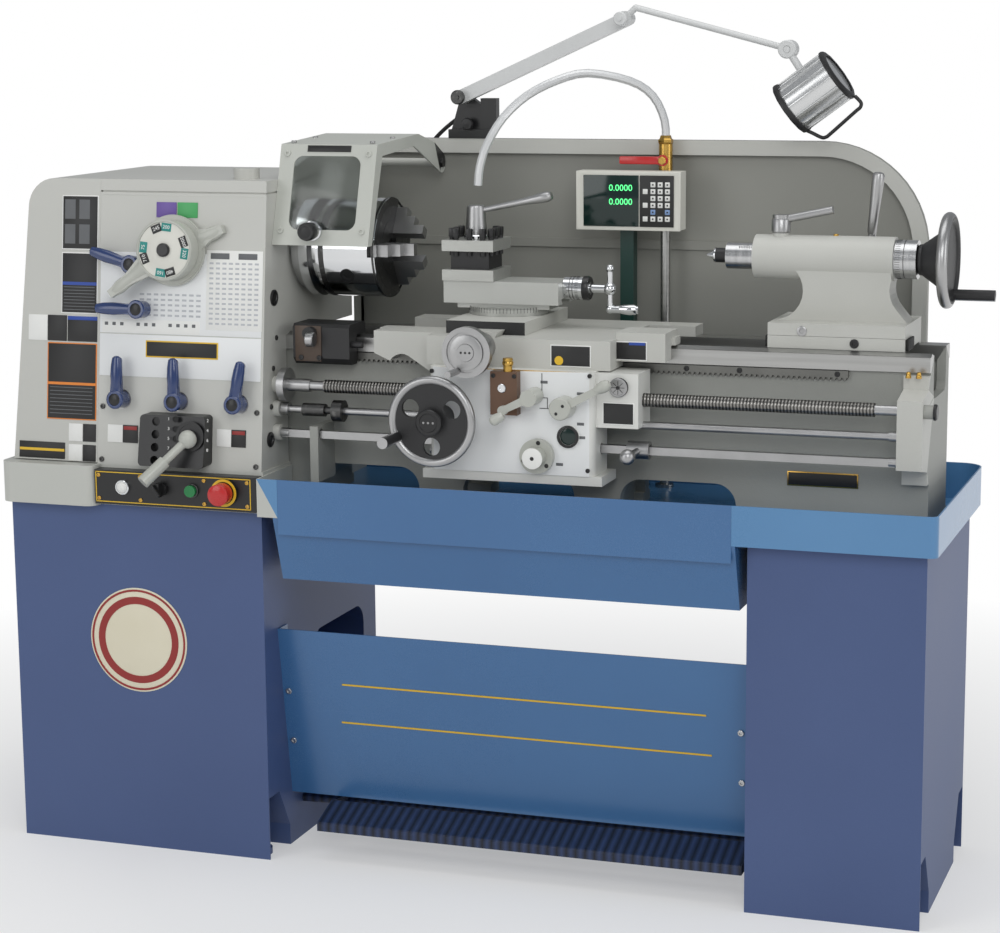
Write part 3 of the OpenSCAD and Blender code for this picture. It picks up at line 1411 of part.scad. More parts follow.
module quill() color(bright) place() difference() {
  bar_x(tail_quill_x, tail_quill_x + quill_l, axis_y, axis_z, quill_d / 2);
  bar_x(tail_quill_x - over, tail_quill_x + center_shank_l + over, axis_y, axis_z, journal_r + fit);
  bar_x(tail_quill_x + center_shank_l + 2 * over, tail_quill_x + quill_l + over, axis_y, axis_z,
    journal_r - over);
}
module live_center() color([0.6, 0.61, 0.62]) place() {
  x0 = tail_quill_x - slip;
  bar_x(x0 - over, x0 + center_shank_l, axis_y, axis_z, journal_r);
  bar_x(x0 - center_collar_l, x0, axis_y, axis_z, center_collar_r);
  translate([x0 - center_collar_l, axis_y, axis_z]) rotate([0, -90, 0])
    cylinder(h = center_l - center_collar_l + over, r1 = center_cone_r, r2 = center_tip_r);
}
module tailstock_wheel() color(bright) place() {
  x0 = barrel_x + barrel_l + slip;
  bar_x(x0, x0 + tail_collar_l, axis_y, axis_z, tail_collar_r);
  bar_x(x0, tail_wheel_x, axis_y, axis_z, wheel_hub_r);
  bar_x(x0 - tail_screw_l, x0 + over, axis_y, axis_z, tail_screw_r);
  translate([tail_wheel_x, axis_y, axis_z]) rotate([0, 90, 0]) rotate([0, 0, tail_grip_turn])
    handwheel(tail_wheel_d / 2, 1.25 * wheel_rim_r, wheel_web_t, 0, tail_handle_r, tail_handle_l + lever_t);
  translate([x0 + tail_collar_l, axis_y, axis_z]) rotate([0, 90, 0])
    cylinder(h = tail_wheel_x - x0 - tail_collar_l, r1 = wheel_hub_r, r2 = 0.7 * tail_wheel_d / 2);
}
module quill_lock_lever() color(steel) place() {
  z0 = axis_z + barrel_d / 2 + sheet + slip;
  bar_z(z0, z0 + lock_h, lock_x, axis_y, lock_r);
  bar_z(z0 - barrel_d / 5, z0 + over, lock_x, axis_y, journal_r / 2);
  translate([lock_x, axis_y, z0 + 0.7 * lock_h]) rotate([0, 90 - lock_lift, 0])
    cylinder(h = lock_lever_l, r = post_lever_r);
}
module tailstock_clamp_lever() color(steel) place() {
  bar_y(clamp_y - 2 * clamp_r + slip, clamp_y + over, clamp_x, clamp_z, clamp_r);
  bar_y(clamp_y, clamp_y + 2.4 * clamp_r, clamp_x, clamp_z, 2 * clamp_r);
  translate([clamp_x, clamp_y + 1.2 * clamp_r, clamp_z]) rotate([0, clamp_turn, 0])
    cylinder(h = clamp_lever_l, r1 = 0.8 * clamp_r, r2 = clamp_r);
}

// Outline of the splash guard, drawn in by the given amount
module guard_plan(inset) {
  x1 = guard_back_x + guard_l - inset;
  top = pan_top + guard_h - inset;
  r = guard_r - inset;
  polygon(concat([[guard_back_x + inset, pan_top], [x1, pan_top]], arc(x1 - r, top - r, r, 0, 90, 14),
    [[guard_back_x + inset, top]]));
}
module splash_guard() color([0.6, 0.6, 0.57]) place() {
  top = pan_top + guard_h;
  along_y(pan_back - sheet, pan_back) guard_plan(0);
  difference() {
    along_y(pan_back - rim_d, pan_back - over) guard_plan(0);
    along_y(pan_back - rim_d - over, pan_back + over) guard_plan(sheet);
  }
  difference() {
    along_y(pan_back - rim_d, pan_back - rim_d + sheet) guard_plan(0);
    along_y(pan_back - rim_d - over, pan_back) guard_plan(rim_h);
    block(guard_back_x - over, guard_back_x + rim_h + over, pan_back - 2 * rim_d, pan_back, pan_top - over,
      top - rim_h);
  }
  block(guard_back_x, guard_back_x + guard_l, pan_back - sheet - bead_t, pan_back - sheet + over, bead_z,
    bead_z + bead_h);
  lamp_base(top);
}
// Lamp base on the rim of the splash guard, with its gland and pivot ears
module lamp_base(top) {
  mid = lamp_base_x + lamp_base_w / 2;
  block(lamp_base_x, lamp_base_x + lamp_base_w, lamp_y - 2 * sheet, pan_back + 2 * sheet, top,
      top + lamp_plate_h);
  block(lamp_base_x + 2 * sheet, lamp_base_x + lamp_base_w - 2 * sheet, pan_back, pan_back + 2 * sheet,
    top - rim_h, top + over);
  along_y(lamp_y, lamp_y + lamp_arm_t - lid_in)
    polygon([[mid - lamp_top_w * 0.8, top + lamp_plate_h - over],
        [mid + lamp_top_w * 0.8, top + lamp_plate_h - over],
      [mid + lamp_top_w / 2, top + lamp_base_h], [lamp_pivot_x + elbow_r, lamp_pivot_z],
      [lamp_pivot_x, lamp_pivot_z + elbow_r], [lamp_pivot_x - elbow_r, lamp_pivot_z],
      [mid - lamp_top_w / 2, top + lamp_base_h]]);
  bar_y(lamp_y - lamp_arm_t - 2 * slip, lamp_y + over, lamp_pivot_x, lamp_pivot_z, pivot_r);
  block(gland_x - gland_l, gland_x + gland_l, lamp_y - sheet, lamp_y + lamp_arm_t - lid_in,
    top + lamp_plate_h - over, gland_z + gland_r);
}
module lamp_arm() color(black) place() difference() {
  y0 = lamp_y - slip - lamp_arm_t;
  union() {
    translate([lamp_pivot_x, 0, lamp_pivot_z]) rotate([0, -arm_rise, 0]) {
      block(0, lamp_arm_l, y0, y0 + lamp_arm_t, -lamp_arm_h / 2, lamp_arm_h / 2);
      bar_y(y0, y0 + lamp_arm_t, 0, 0, lamp_arm_h / 2);
    }
    bar_y(y0, y0 + lamp_arm_t, elbow_x, elbow_z, lamp_arm_h / 2);
    bar_y(y0 - elbow_r - slip, y0 + over, elbow_x, elbow_z, pivot_r);
  }
  bar_y(y0 - over, y0 + lamp_arm_t + over, lamp_pivot_x, lamp_pivot_z, pivot_r + fit);
}
module lamp_rod() color(black) place() difference() {
  y1 = lamp_y - 2 * slip - lamp_arm_t;
  union() {
    bar_y(y1 - elbow_r, y1, elbow_x, elbow_z, elbow_r);
    translate([elbow_x, y1 - elbow_r / 2, elbow_z]) rotate([0, 90 - elbow_lean, 0])
      cylinder(h = norm([elbow_out, elbow_up]), r = rod_r);
    translate([elbow_x + elbow_out, y1 - elbow_r / 2, elbow_z + elbow_up]) {
      sphere(rod_r);
      rotate([0, 90 + rod_fall, 0]) cylinder(h = lamp_rod_l - 0.8 * joint_r, r = rod_r);
    }
    bar_y(y1 - elbow_r, y1, tip_x, tip_z, joint_r);
    bar_y(y1 - elbow_r - joint_r, y1, tip_x, tip_z, rod_r);
  }
  bar_y(y1 - elbow_r - over, y1 + over, elbow_x, elbow_z, pivot_r + fit);
}
// Finned lamp head, open towards the work
module lamp_head() color(pale) place() {
  y1 = lamp_y - 3 * slip - lamp_arm_t - elbow_r;
  translate([tip_x + head_x, y1 - joint_r / 2, tip_z - head_drop]) rotate([0, head_turn, 0])
    rotate_extrude() polygon(concat([[0, -head_l / 2], [head_end_r, -head_l / 2]],
      [for (i = [0:head_fins - 1], s = fin_shares)
        let (u = (i + s[0]) / head_fins)
        [head_end_r + (head_open_r - head_end_r) * u + s[1] * head_fin, -head_l / 2 + 0.7 * head_l * u]],
      [[head_open_r, 0.2 * head_l], [head_open_r, head_l / 2], [head_open_r - head_t, head_l / 2],
      [head_open_r - head_t, 0.1 * head_l], [0, 0.1 * head_l]]));
  difference() {
    union() {
      bar_y(y1 - joint_r, y1, tip_x, tip_z, joint_r);
      translate([tip_x, y1 - joint_r / 2, tip_z]) rotate([0, 180 - atan2(head_x, head_drop), 0])
        cylinder(h = norm([head_x, head_drop]), r = rod_r);
    }
    bar_y(y1 - 2 * joint_r, y1 + over, tip_x, tip_z, rod_r + fit);
  }
}

module readout() color([0.86, 0.86, 0.82]) place() {
  block(readout_x, readout_x + readout_w, readout_y, readout_y + readout_t, readout_z,
      readout_z + readout_h);
  block(mast_x, mast_x + mast_w, readout_y + readout_t, readout_y + readout_t + mast_w, mast_z0,
    readout_z + readout_h / 2);
  block(mast_x - mast_w, mast_x + 2 * mast_w, readout_y + readout_t - mast_w / 3,
    readout_y + readout_t + mast_w, mast_z0, mast_z0 + sheet);
}

// Sweep of a round tube along points
function unit(v) = v / norm(v);
function catmull(p, i, t) =
  let (a = p[max(i - 1, 0)], b = p[i], c = p[i + 1], d = p[min(i + 2, len(p) - 1)])
  0.5 * ((2 * b) + (c - a) * t + (2 * a - 5 * b + 4 * c - d) * t * t + (3 * b - a - 3 * c + d) * t * t * t);
function smooth_path(p, steps) = concat(
  [for (i = [0:len(p) - 2], k = [0:steps - 1]) catmull(p, i, k / steps)], [p[len(p) - 1]]);
function tangent(p, i) = unit(p[min(i + 1, len(p) - 1)] - p[max(i - 1, 0)]);
module tube(p, r, sides) {
  n = len(p);
  side_dir = [for (i = [0:n - 1]) let (t = tangent(p, i))
      unit(cross(t, abs(t[1]) > 0.9 ? [1, 0, 0] : [0, 1, 0]))];
  rings = [for (i = [0:n - 1], k = [0:sides - 1])
    let (u = side_dir[i], v = cross(tangent(p, i), u), a = 360 * k / sides)
    p[i] + r * (cos(a) * u + sin(a) * v)];
  polyhedron(points = rings, faces = concat(
    [[for (k = [0:sides - 1]) k]],
    [[for (k = [sides - 1:-1:0]) (n - 1) * sides + k]],
    [for (i = [0:n - 2], k = [0:sides - 1], half = [0, 1])
      let (k2 = (k + 1) % sides, a = i * sides, b = (i + 1) * sides)
      half == 0 ? [a + k, b + k, a + k2] : [a + k2, b + k, b + k2]]));
}

module coolant_line() color([0.75, 0.75, 0.72]) place() {
  bar_z(pan_z + sheet, valve_z, pipe_x, pipe_y, pipe_r);
  bar_z(pan_z + sheet, pan_z + 3 * sheet, pipe_x, pipe_y, 2 * pipe_r);
  bar_z(valve_z - over, valve_z + valve_h, pipe_x, pipe_y, valve_r);
  bar_y(pipe_y - valve_r - lid_in, pipe_y, pipe_x, valve_z + 0.4 * valve_h, lid_in);
  tube(smooth_path(spout_points, 3), spout_r, 10);
}
module valve_handle() color([0.75, 0.1, 0.1]) place() {
  y1 = pipe_y - valve_r - lid_in - slip;
  z = valve_z + 0.4 * valve_h;
  bar_y(y1 - valve_lever_t, y1, pipe_x, z, valve_r * 0.8);
  block(pipe_x - valve_lever_l, pipe_x, y1 - valve_lever_t, y1, z - lid_in, z + lid_in);
}
module lamp_cable() color(black) place() tube(smooth_path(cable_points, 3), cable_r, 8);

left_pedestal();
right_pedestal();
chip_pan();
chip_drawer();
kick_panel();
brake_pedal();
bed();
headstock();
end_cover();
mode_switch();
start_button();
stop_button();
speed_dial();
range_lever();
thread_lever_upper();
thread_lever_lower();
feed_lever_left();
feed_lever_middle();
feed_lever_right();
selector_lever();
spindle();
idler_gear();
chuck_body();
chuck_jaw_1();
chuck_jaw_2();
chuck_jaw_3();
chuck_guard();
leadscrew();
feed_rod();
control_rod();
control_lever();
carriage_stop();
saddle();
apron();
apron_handwheel();
cross_slide();
cross_slide_wheel();
compound_base();
compound_slide();
compound_crank();
tool_post();
tool_post_lever();
apron_feed_lever();
half_nut_lever();
feed_knob();
thread_dial();
tailstock();
quill();
live_center();
tailstock_wheel();
quill_lock_lever();
tailstock_clamp_lever();
splash_guard();
readout();
coolant_line();
valve_handle();
lamp_arm();
lamp_rod();
lamp_head();
lamp_cable();
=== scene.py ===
import math

import bpy
from mathutils import Matrix, Vector
from mathutils.geometry import interpolate_bezier


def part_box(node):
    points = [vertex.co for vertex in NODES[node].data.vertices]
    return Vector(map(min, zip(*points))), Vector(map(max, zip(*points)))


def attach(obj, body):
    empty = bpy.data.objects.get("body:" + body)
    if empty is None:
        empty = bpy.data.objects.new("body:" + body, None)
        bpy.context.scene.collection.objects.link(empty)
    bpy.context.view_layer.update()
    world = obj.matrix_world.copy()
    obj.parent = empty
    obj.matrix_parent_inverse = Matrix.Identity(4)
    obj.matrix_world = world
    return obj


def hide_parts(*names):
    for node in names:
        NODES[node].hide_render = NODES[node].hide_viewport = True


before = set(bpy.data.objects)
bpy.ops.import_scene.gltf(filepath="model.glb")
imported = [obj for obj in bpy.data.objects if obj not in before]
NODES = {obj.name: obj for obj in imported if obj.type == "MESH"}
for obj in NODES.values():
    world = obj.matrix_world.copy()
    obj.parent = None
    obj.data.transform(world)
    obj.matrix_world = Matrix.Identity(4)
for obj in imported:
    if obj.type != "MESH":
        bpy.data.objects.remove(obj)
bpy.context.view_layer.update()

scene = bpy.context.scene

# Places are written in millimetres from the zero of the drawing, which lies off the machine's middle
MIDDLE_X = 5.5
MIDDLE_Y = 30.0
FRONT_Y = -185
FACE_Z0 = 745
LEAN = math.radians(5.94)
AXIS_Y = 45
AXIS_Z = 1143
KNOB_X = -294.9
KNOB_Z = 1185
APRON_Y = -165
POST_X = -33
COMPOUND_Z = 1076.6
WHEEL_X = -25
WHEEL_Z = 862
CROSS_X = 40
CROSS_Z = 987
DIAL_BOX_X = 299
DIAL_BOX_Z = 926
TOWARDS = Vector((0, -1, 0))
TO_RIGHT = (1, 0, 0)
UP = (0, 0, 1)
OUT_OF_FACE = Vector((0, -math.cos(LEAN), math.sin(LEAN)))


def at(x, y, z):
    """A place of the drawing, in metres from the middle of the machine."""
    return Vector((x - MIDDLE_X, y - MIDDLE_Y, z)) / 1000


def face_y(z):
    """Where the leaning front of the headstock is at a height."""
    return FRONT_Y + (z - FACE_Z0) * math.tan(LEAN)


def on_face(x, z, out=0.0):
    """A point on the leaning front, a little way out of it."""
    return Vector((x, face_y(z), z)) + out * OUT_OF_FACE


# Camera
CAMERA_PLACE = (1512.5, -4296, 1567.5)
CAMERA_TURN = (79.744, 0.464, 19.011)
LENS = 89.62
SENSOR_WIDTH = 36
CAMERA_REACH = 50

camera_data = bpy.data.cameras.new("photo_camera")
camera_data.sensor_width = SENSOR_WIDTH
camera_data.lens = LENS
camera_data.clip_end = CAMERA_REACH
camera = bpy.data.objects.new("photo_camera", camera_data)
camera.location = at(*CAMERA_PLACE)
camera.rotation_euler = [math.radians(a) for a in CAMERA_TURN]
scene.collection.objects.link(camera)
scene.camera = camera


# Finishes
SMEAR_TIMES = 6.0
WEAR_FROM = 0.58
WEAR_TO = 0.72
WEAR_SHARE = 0.35
# How dark the painted shade in the grooves of ridged finishes is, as a share of their dark colour
GROOVE_SHADE_SHARE = 0.35
COAT_ROUGHNESS = 0.15
GLASS_BEND = 1.45


def shade(red, green, blue):
    """A colour as it shows on a screen, 0 to 255, turned into linear light."""
    return tuple((max(v, 10) / 255 + 0.055) ** 2.4 / 1.055 ** 2.4 for v in (red, green, blue)) + (1.0,)


def group_sockets(group, inputs, outputs):
    """Gives a node group its named inputs and outputs."""
    for name, kind, value in inputs:
        socket = group.interface.new_socket(name, in_out="INPUT", socket_type=kind)
        if value is not None:
            socket.default_value = value
    for name in outputs:
        group.interface.new_socket(name, in_out="OUTPUT", socket_type="NodeSocketFloat")
    return group.nodes.new("NodeGroupInput"), group.nodes.new("NodeGroupOutput")


def noise(tree, vector, size, detail):
    """A noise pattern. The larger its size value, the finer its spots."""
    node = tree.nodes.new("ShaderNodeTexNoise")
    node.inputs["Detail"].default_value = detail
    tree.links.new(vector, node.inputs["Vector"])
    tree.links.new(size, node.inputs["Scale"])
    return node.outputs["Fac"]


def math_node(tree, operation, first, second):
    """Works out one value from two, either of which may be a plain number."""
    node = tree.nodes.new("ShaderNodeMath")
    node.operation = operation
    for socket, value in zip(node.inputs, (first, second)):
        if isinstance(value, (int, float)):
            socket.default_value = value
        else:
            tree.links.new(value, socket)
    return node.outputs[0]


def surface_group():
    """Slow patches, fine grain and scratches, shared by the paints, castings and metals."""
    group = bpy.data.node_groups.new("handled_surface", "ShaderNodeTree")
    start, end = group_sockets(group,
                               [("Vector", "NodeSocketVector", None), ("Patch", "NodeSocketFloat", 8.0),
                                ("Grain", "NodeSocketFloat", 900.0)], ["Tone", "Grain", "Wear"])
    patch = noise(group, start.outputs["Vector"], start.outputs["Patch"], 5)
    grain = noise(group, start.outputs["Vector"], start.outputs["Grain"], 2)
    smear_size = math_node(group, "MULTIPLY", start.outputs["Patch"], SMEAR_TIMES)
    smear = noise(group, start.outputs["Vector"], smear_size, 8)
    wear = group.nodes.new("ShaderNodeMapRange")
    wear.inputs["From Min"].default_value = WEAR_FROM
    wear.inputs["From Max"].default_value = WEAR_TO
    group.links.new(smear, wear.inputs["Value"])
    tone = math_node(group, "ADD", math_node(group, "MULTIPLY", patch, 0.8),
                     math_node(group, "MULTIPLY", grain, 0.2))
    group.links.new(tone, end.inputs["Tone"])
    group.links.new(grain, end.inputs["Grain"])
    group.links.new(wear.outputs[0], end.inputs["Wear"])
    return group


def bands_group():
    """Ridges that follow each other along one direction, for threads, ribs and treads."""
    group = bpy.data.node_groups.new("ridge_bands", "ShaderNodeTree")
    start, end = group_sockets(group,
                               [("Position", "NodeSocketFloat", 0.0), ("Pitch", "NodeSocketFloat", 0.006)],
                               ["Ridge"])
    turns = math_node(group, "DIVIDE", start.outputs["Position"], start.outputs["Pitch"])
    phase = math_node(group, "FRACT", turns, 0)
    ridge = math_node(group, "PINGPONG", phase, 0.5)
    group.links.new(math_node(group, "MULTIPLY", ridge, 2.0), end.inputs["Ridge"])
    return group


SURFACE = surface_group()
BANDS = bands_group()


def finish(name, dark, light, rough=(0.4, 0.5), metal=0.0, patch=8.0, grain=900.0, bump=0.05,
           stretch=(1, 1, 1), wear=None, coat=0.0, pitch=None, along="X", depth=0.3):
    """A material whose colour drifts from dark to light, with fine grain and, where asked, wear or ridges
    with painted shade in their grooves.
    """
    material = bpy.data.materials.new(name)
    material.use_nodes = True
    tree = material.node_tree
    links = tree.links
    body = tree.nodes["Principled BSDF"]
    place = tree.nodes.new("ShaderNodeTexCoord").outputs["Object"]
    mapping = tree.nodes.new("ShaderNodeMapping")
    mapping.inputs["Scale"].default_value = stretch
    links.new(place, mapping.inputs["Vector"])
    surface = tree.nodes.new("ShaderNodeGroup")
    surface.node_tree = SURFACE
    surface.inputs["Patch"].default_value = patch
    surface.inputs["Grain"].default_value = grain
    links.new(mapping.outputs[0], surface.inputs["Vector"])
    colour = tree.nodes.new("ShaderNodeMix")
    colour.data_type = "RGBA"
    colour.inputs["A"].default_value = shade(*dark)
    colour.inputs["B"].default_value = shade(*light)
    links.new(surface.outputs["Tone"], colour.inputs["Factor"])
    base = colour.outputs["Result"]
    height = surface.outputs["Grain"]
    if wear:
        worn = tree.nodes.new("ShaderNodeMix")
        worn.data_type = "RGBA"
        worn.inputs["B"].default_value = shade(*wear)
        links.new(math_node(tree, "MULTIPLY", surface.outputs["Wear"], WEAR_SHARE), worn.inputs["Factor"])
        links.new(base, worn.inputs["A"])
        base = worn.outputs["Result"]
    # Ridges: the colour darkens towards the grooves between them, painted shade of the grooves
    if pitch:
        split = tree.nodes.new("ShaderNodeSeparateXYZ")
        links.new(place, split.inputs[0])
        bands = tree.nodes.new("ShaderNodeGroup")
        bands.node_tree = BANDS
        bands.inputs["Pitch"].default_value = pitch
        links.new(split.outputs[along], bands.inputs["Position"])
        ridge = bands.outputs["Ridge"]
        groove_shade = tree.nodes.new("ShaderNodeMix")
        groove_shade.data_type = "RGBA"
        groove_shade.inputs["A"].default_value = shade(*[v * GROOVE_SHADE_SHARE for v in dark])
        links.new(ridge, groove_shade.inputs["Factor"])
        links.new(base, groove_shade.inputs["B"])
        base = groove_shade.outputs["Result"]
        height = ridge
    links.new(base, body.inputs["Base Color"])
    gloss = tree.nodes.new("ShaderNodeMapRange")
    gloss.inputs["To Min"].default_value = rough[0]
    gloss.inputs["To Max"].default_value = rough[1]
    links.new(surface.outputs["Tone"], gloss.inputs["Value"])
    links.new(gloss.outputs[0], body.inputs["Roughness"])
    relief = tree.nodes.new("ShaderNodeBump")
    relief.inputs["Strength"].default_value = depth if pitch else bump
    relief.inputs["Distance"].default_value = 0.001
    links.new(height, relief.inputs["Height"])
    links.new(relief.outputs[0], body.inputs["Normal"])
    body.inputs["Metallic"].default_value = metal
    if coat:
        body.inputs["Coat Weight"].default_value = coat
        body.inputs["Coat Roughness"].default_value = COAT_ROUGHNESS
    return material


def glow(name, colour, strength):
    """A lit surface."""
    material = finish(name, colour, colour, rough=(0.3, 0.4))
    body = material.node_tree.nodes["Principled BSDF"]
    body.inputs["Emission Color"].default_value = shade(*colour)
    body.inputs["Emission Strength"].default_value = strength
    return material


def clear(name, tint, rough=0.03):
    """Glass or clear plastic, thin enough to see the work through."""
    material = finish(name, tint, tint, rough=(rough, rough + 0.04))
    body = material.node_tree.nodes["Principled BSDF"]
    body.inputs["Transmission Weight"].default_value = 1.0
    body.inputs["IOR"].default_value = GLASS_BEND
    return material


PEDESTAL_BLUE = finish("pedestal_blue", (64, 82, 124), (80, 99, 143), (0.42, 0.52), grain=500, bump=0.18,
                       patch=2.5)
DRAWER_BLUE = finish("drawer_blue", (52, 96, 146), (74, 122, 170), (0.22, 0.34), patch=2.0, bump=0.03,
                     coat=0.3)
PAN_BLUE = finish("pan_blue", (72, 124, 172), (96, 146, 190), (0.22, 0.34), patch=2.5, bump=0.03, coat=0.3)
# The pedal tread's grooves carry painted shade
TREAD_BLUE = finish("tread_blue", (36, 50, 84), (54, 72, 112), (0.4, 0.55), patch=30, pitch=0.018, depth=0.6)
BODY_GREY = finish("body_grey", (184, 184, 177), (203, 203, 197), (0.34, 0.46), patch=3, bump=0.05, coat=0.15)
TRAY_GREY = finish("tray_grey", (186, 187, 180), (202, 203, 196), (0.34, 0.46), patch=3, bump=0.05)
SPLASH_GREY = finish("splash_grey", (138, 138, 131), (155, 155, 148), (0.4, 0.5), patch=1.8, bump=0.06)
BED_GREY = finish("bed_grey", (146, 147, 141), (166, 167, 161), (0.42, 0.55), patch=5, grain=350, bump=0.25)
CREAM = finish("cream_casting", (186, 186, 179), (204, 204, 198), (0.38, 0.5), patch=6, grain=400, bump=0.14)
WHITE_PLATE = finish("white_plate", (226, 228, 228), (240, 241, 240), (0.3, 0.4), patch=4)
APRON_WHITE = finish("apron_white", (214, 214, 208), (230, 230, 225), (0.3, 0.42), patch=5, bump=0.04,
                     coat=0.2)
GROUND = finish("ground_steel", (150, 150, 148), (196, 196, 194), (0.22, 0.38), 1.0, patch=20,
                stretch=(0.2, 6, 6))
TURNED = finish("turned_steel", (160, 161, 162), (214, 214, 214), (0.18, 0.32), 1.0, patch=14,
                stretch=(8, 1, 1))
SATIN = finish("satin_steel", (150, 150, 150), (192, 192, 192), (0.3, 0.42), 1.0, patch=18)
PLATE_SATIN = finish("plate_satin", (166, 167, 162), (192, 193, 188), (0.3, 0.4), 0.55, patch=20,
                     stretch=(0.5, 5, 5))
SLIDE_GREY = finish("slide_grey", (178, 179, 174), (196, 197, 192), (0.3, 0.4), 0.2, patch=12)
CHROME = finish("chrome", (196, 198, 200), (226, 227, 228), (0.06, 0.14), 1.0, patch=10, bump=0.01)
DARK_STEEL = finish("dark_steel", (62, 62, 62), (98, 98, 97), (0.32, 0.48), 1.0, patch=16,
                    wear=(150, 150, 148))
# The thread's grooves carry painted shade
THREAD = finish("screw_thread", (128, 126, 122), (178, 176, 172), (0.25, 0.4), 1.0, patch=16, pitch=0.006,
                depth=0.9)
RACK = finish("rack_steel", (96, 96, 93), (136, 136, 132), (0.35, 0.5), 1.0, patch=16)
IRON_BLACK = finish("black_casting", (26, 26, 27), (42, 42, 43), (0.38, 0.55), grain=420, bump=0.25, patch=9)
BLACK = finish("black_paint", (20, 20, 21), (32, 32, 33), (0.28, 0.4), patch=7)
PLASTIC = finish("black_plastic", (22, 22, 23), (34, 34, 35), (0.35, 0.5), patch=12, grain=1500, bump=0.1)
RUBBER = finish("black_rubber", (18, 18, 18), (30, 30, 30), (0.6, 0.75), patch=20, grain=1500, bump=0.12)
LEVER_GREY = finish("lever_grey", (172, 174, 165), (192, 193, 185), (0.26, 0.36), 0.0, patch=10, coat=0.2)
NAVY = finish("lever_navy", (26, 46, 92), (42, 66, 118), (0.15, 0.25), patch=12, coat=0.5)
BROWN = finish("brown_casting", (62, 50, 42), (88, 72, 60), (0.35, 0.5), patch=14, bump=0.1)
PUMP_BROWN = finish("pump_brown", (84, 60, 44), (112, 80, 58), (0.3, 0.42), patch=18)
GUARD_GREY = finish("guard_grey", (182, 184, 176), (200, 202, 194), (0.34, 0.44), patch=4)
PEARL = finish("readout_case", (214, 213, 203), (228, 227, 218), (0.4, 0.5), patch=6, grain=1800, bump=0.06)
POST_GREEN = finish("post_green", (16, 52, 46), (28, 70, 62), (0.3, 0.42), patch=8)
BRASS = finish("brass", (176, 136, 62), (214, 176, 96), (0.2, 0.35), 1.0, patch=20)
YELLOW = finish("yellow_paint", (220, 176, 34), (238, 196, 52), (0.35, 0.45), patch=12)
RED = finish("red_paint", (176, 24, 26), (204, 40, 40), (0.22, 0.32), patch=12, coat=0.3)
GREEN = finish("green_cap", (18, 112, 58), (34, 136, 74), (0.2, 0.3), patch=12)
TABLE_GREY = finish("table_grey", (176, 178, 182), (194, 196, 200), (0.4, 0.5), patch=30)
BADGE_CREAM = finish("badge_cream", (222, 214, 188), (234, 227, 204), (0.35, 0.45), patch=12)
BADGE_RED = finish("badge_red", (138, 36, 34), (158, 48, 44), (0.35, 0.45), patch=12)
TEAL = finish("teal_mark", (22, 128, 122), (38, 146, 138), (0.35, 0.45), patch=20)
PURPLE = finish("violet_mark", (98, 74, 150), (114, 90, 166), (0.35, 0.45), patch=20)
LEAF = finish("green_mark", (64, 158, 88), (80, 174, 104), (0.35, 0.45), patch=20)
LABEL_BLACK = finish("label_black", (24, 24, 24), (34, 34, 34), (0.4, 0.5), patch=20)
LABEL_WHITE = finish("label_white", (228, 228, 224), (240, 240, 236), (0.4, 0.5), patch=20)
LABEL_ORANGE = finish("label_orange", (222, 124, 40), (236, 142, 54), (0.4, 0.5), patch=20)
LABEL_BLUE = finish("label_blue", (34, 66, 150), (46, 80, 168), (0.4, 0.5), patch=20)
INK = finish("line_ink", (90, 92, 94), (110, 112, 114), (0.5, 0.6), patch=30)
SPOUT = finish("spout", (208, 209, 209), (220, 221, 221), (0.28, 0.36), 0.3, patch=18)
LAMP_GREY = finish("lamp_grey", (202, 203, 202), (220, 221, 220), (0.3, 0.42), patch=8, coat=0.1)
LAMP_FINS = finish("lamp_fins", (196, 197, 197), (226, 227, 227), (0.18, 0.3), 0.9, patch=8)
REFLECTOR = finish("reflector", (216, 216, 212), (236, 236, 232), (0.1, 0.18), 1.0, patch=10, bump=0.01)
SCREEN = finish("screen_glass", (10, 34, 32), (16, 44, 40), (0.08, 0.14), patch=10, bump=0.01)
DIGITS = glow("digit_green", (90, 240, 140), 1.2)
KEY_BLUE = finish("key_blue", (120, 150, 196), (136, 166, 210), (0.4, 0.5), patch=20)
PANE = clear("clear_pane", (226, 232, 230))
LAMP_GLASS = clear("lamp_glass", (232, 236, 240))


# The lamp's cable, from the strain relief on its base down behind the splash guard
CABLE_POINTS = [
    (-96, 318, 1402), (-96, 324, 1402), (-96, 330, 1402), (-103, 347, 1400), (-124, 358, 1395),
    (-154, 360, 1384), (-188, 356, 1364), (-222, 350, 1334), (-256, 345, 1292), (-294, 340, 1246),
    (-338, 334, 1208), (-382, 324, 1184), (-416, 312, 1173), (-430, 301, 1170), (-432, 293, 1170),
    (-432, 287, 1170), (-432, 281, 1170)]
CABLE_RADIUS = 0.004


def cable(route, radius):
    """A round cable or wire as one smooth curve along a route."""
    curve = bpy.data.curves.new("lamp_cable_run", "CURVE")
    curve.dimensions = "3D"
    curve.resolution_u = 6
    curve.bevel_depth = radius
    curve.bevel_resolution = 4
    curve.use_fill_caps = True
    line = curve.splines.new("BEZIER")
    line.bezier_points.add(len(route) - 1)
    for i, point in enumerate(line.bezier_points):
        before = route[max(i - 1, 0)]
        after = route[min(i + 1, len(route) - 1)]
        lean = (after - before) / 6
        point.co = route[i]
        point.handle_left = route[i] - lean
        point.handle_right = route[i] + lean
    run = bpy.data.objects.new("lamp_cable_run", curve)
    scene.collection.objects.link(run)
    return run


def run_length(curve):
    """The length of a curve's own line, in metres."""
    points = []
    nodes = curve.data.splines[0].bezier_points
    for a, b in zip(nodes, nodes[1:]):
        points += interpolate_bezier(a.co, a.handle_right, b.handle_left, b.co, 13)
    return sum((q - p).length for p, q in zip(points, points[1:]))


lamp_cable = cable([at(*p) for p in CABLE_POINTS], CABLE_RADIUS)
lamp_cable.data.materials.append(RUBBER)
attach(lamp_cable, "frame")
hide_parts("lamp_cable")
run_length(lamp_cable)


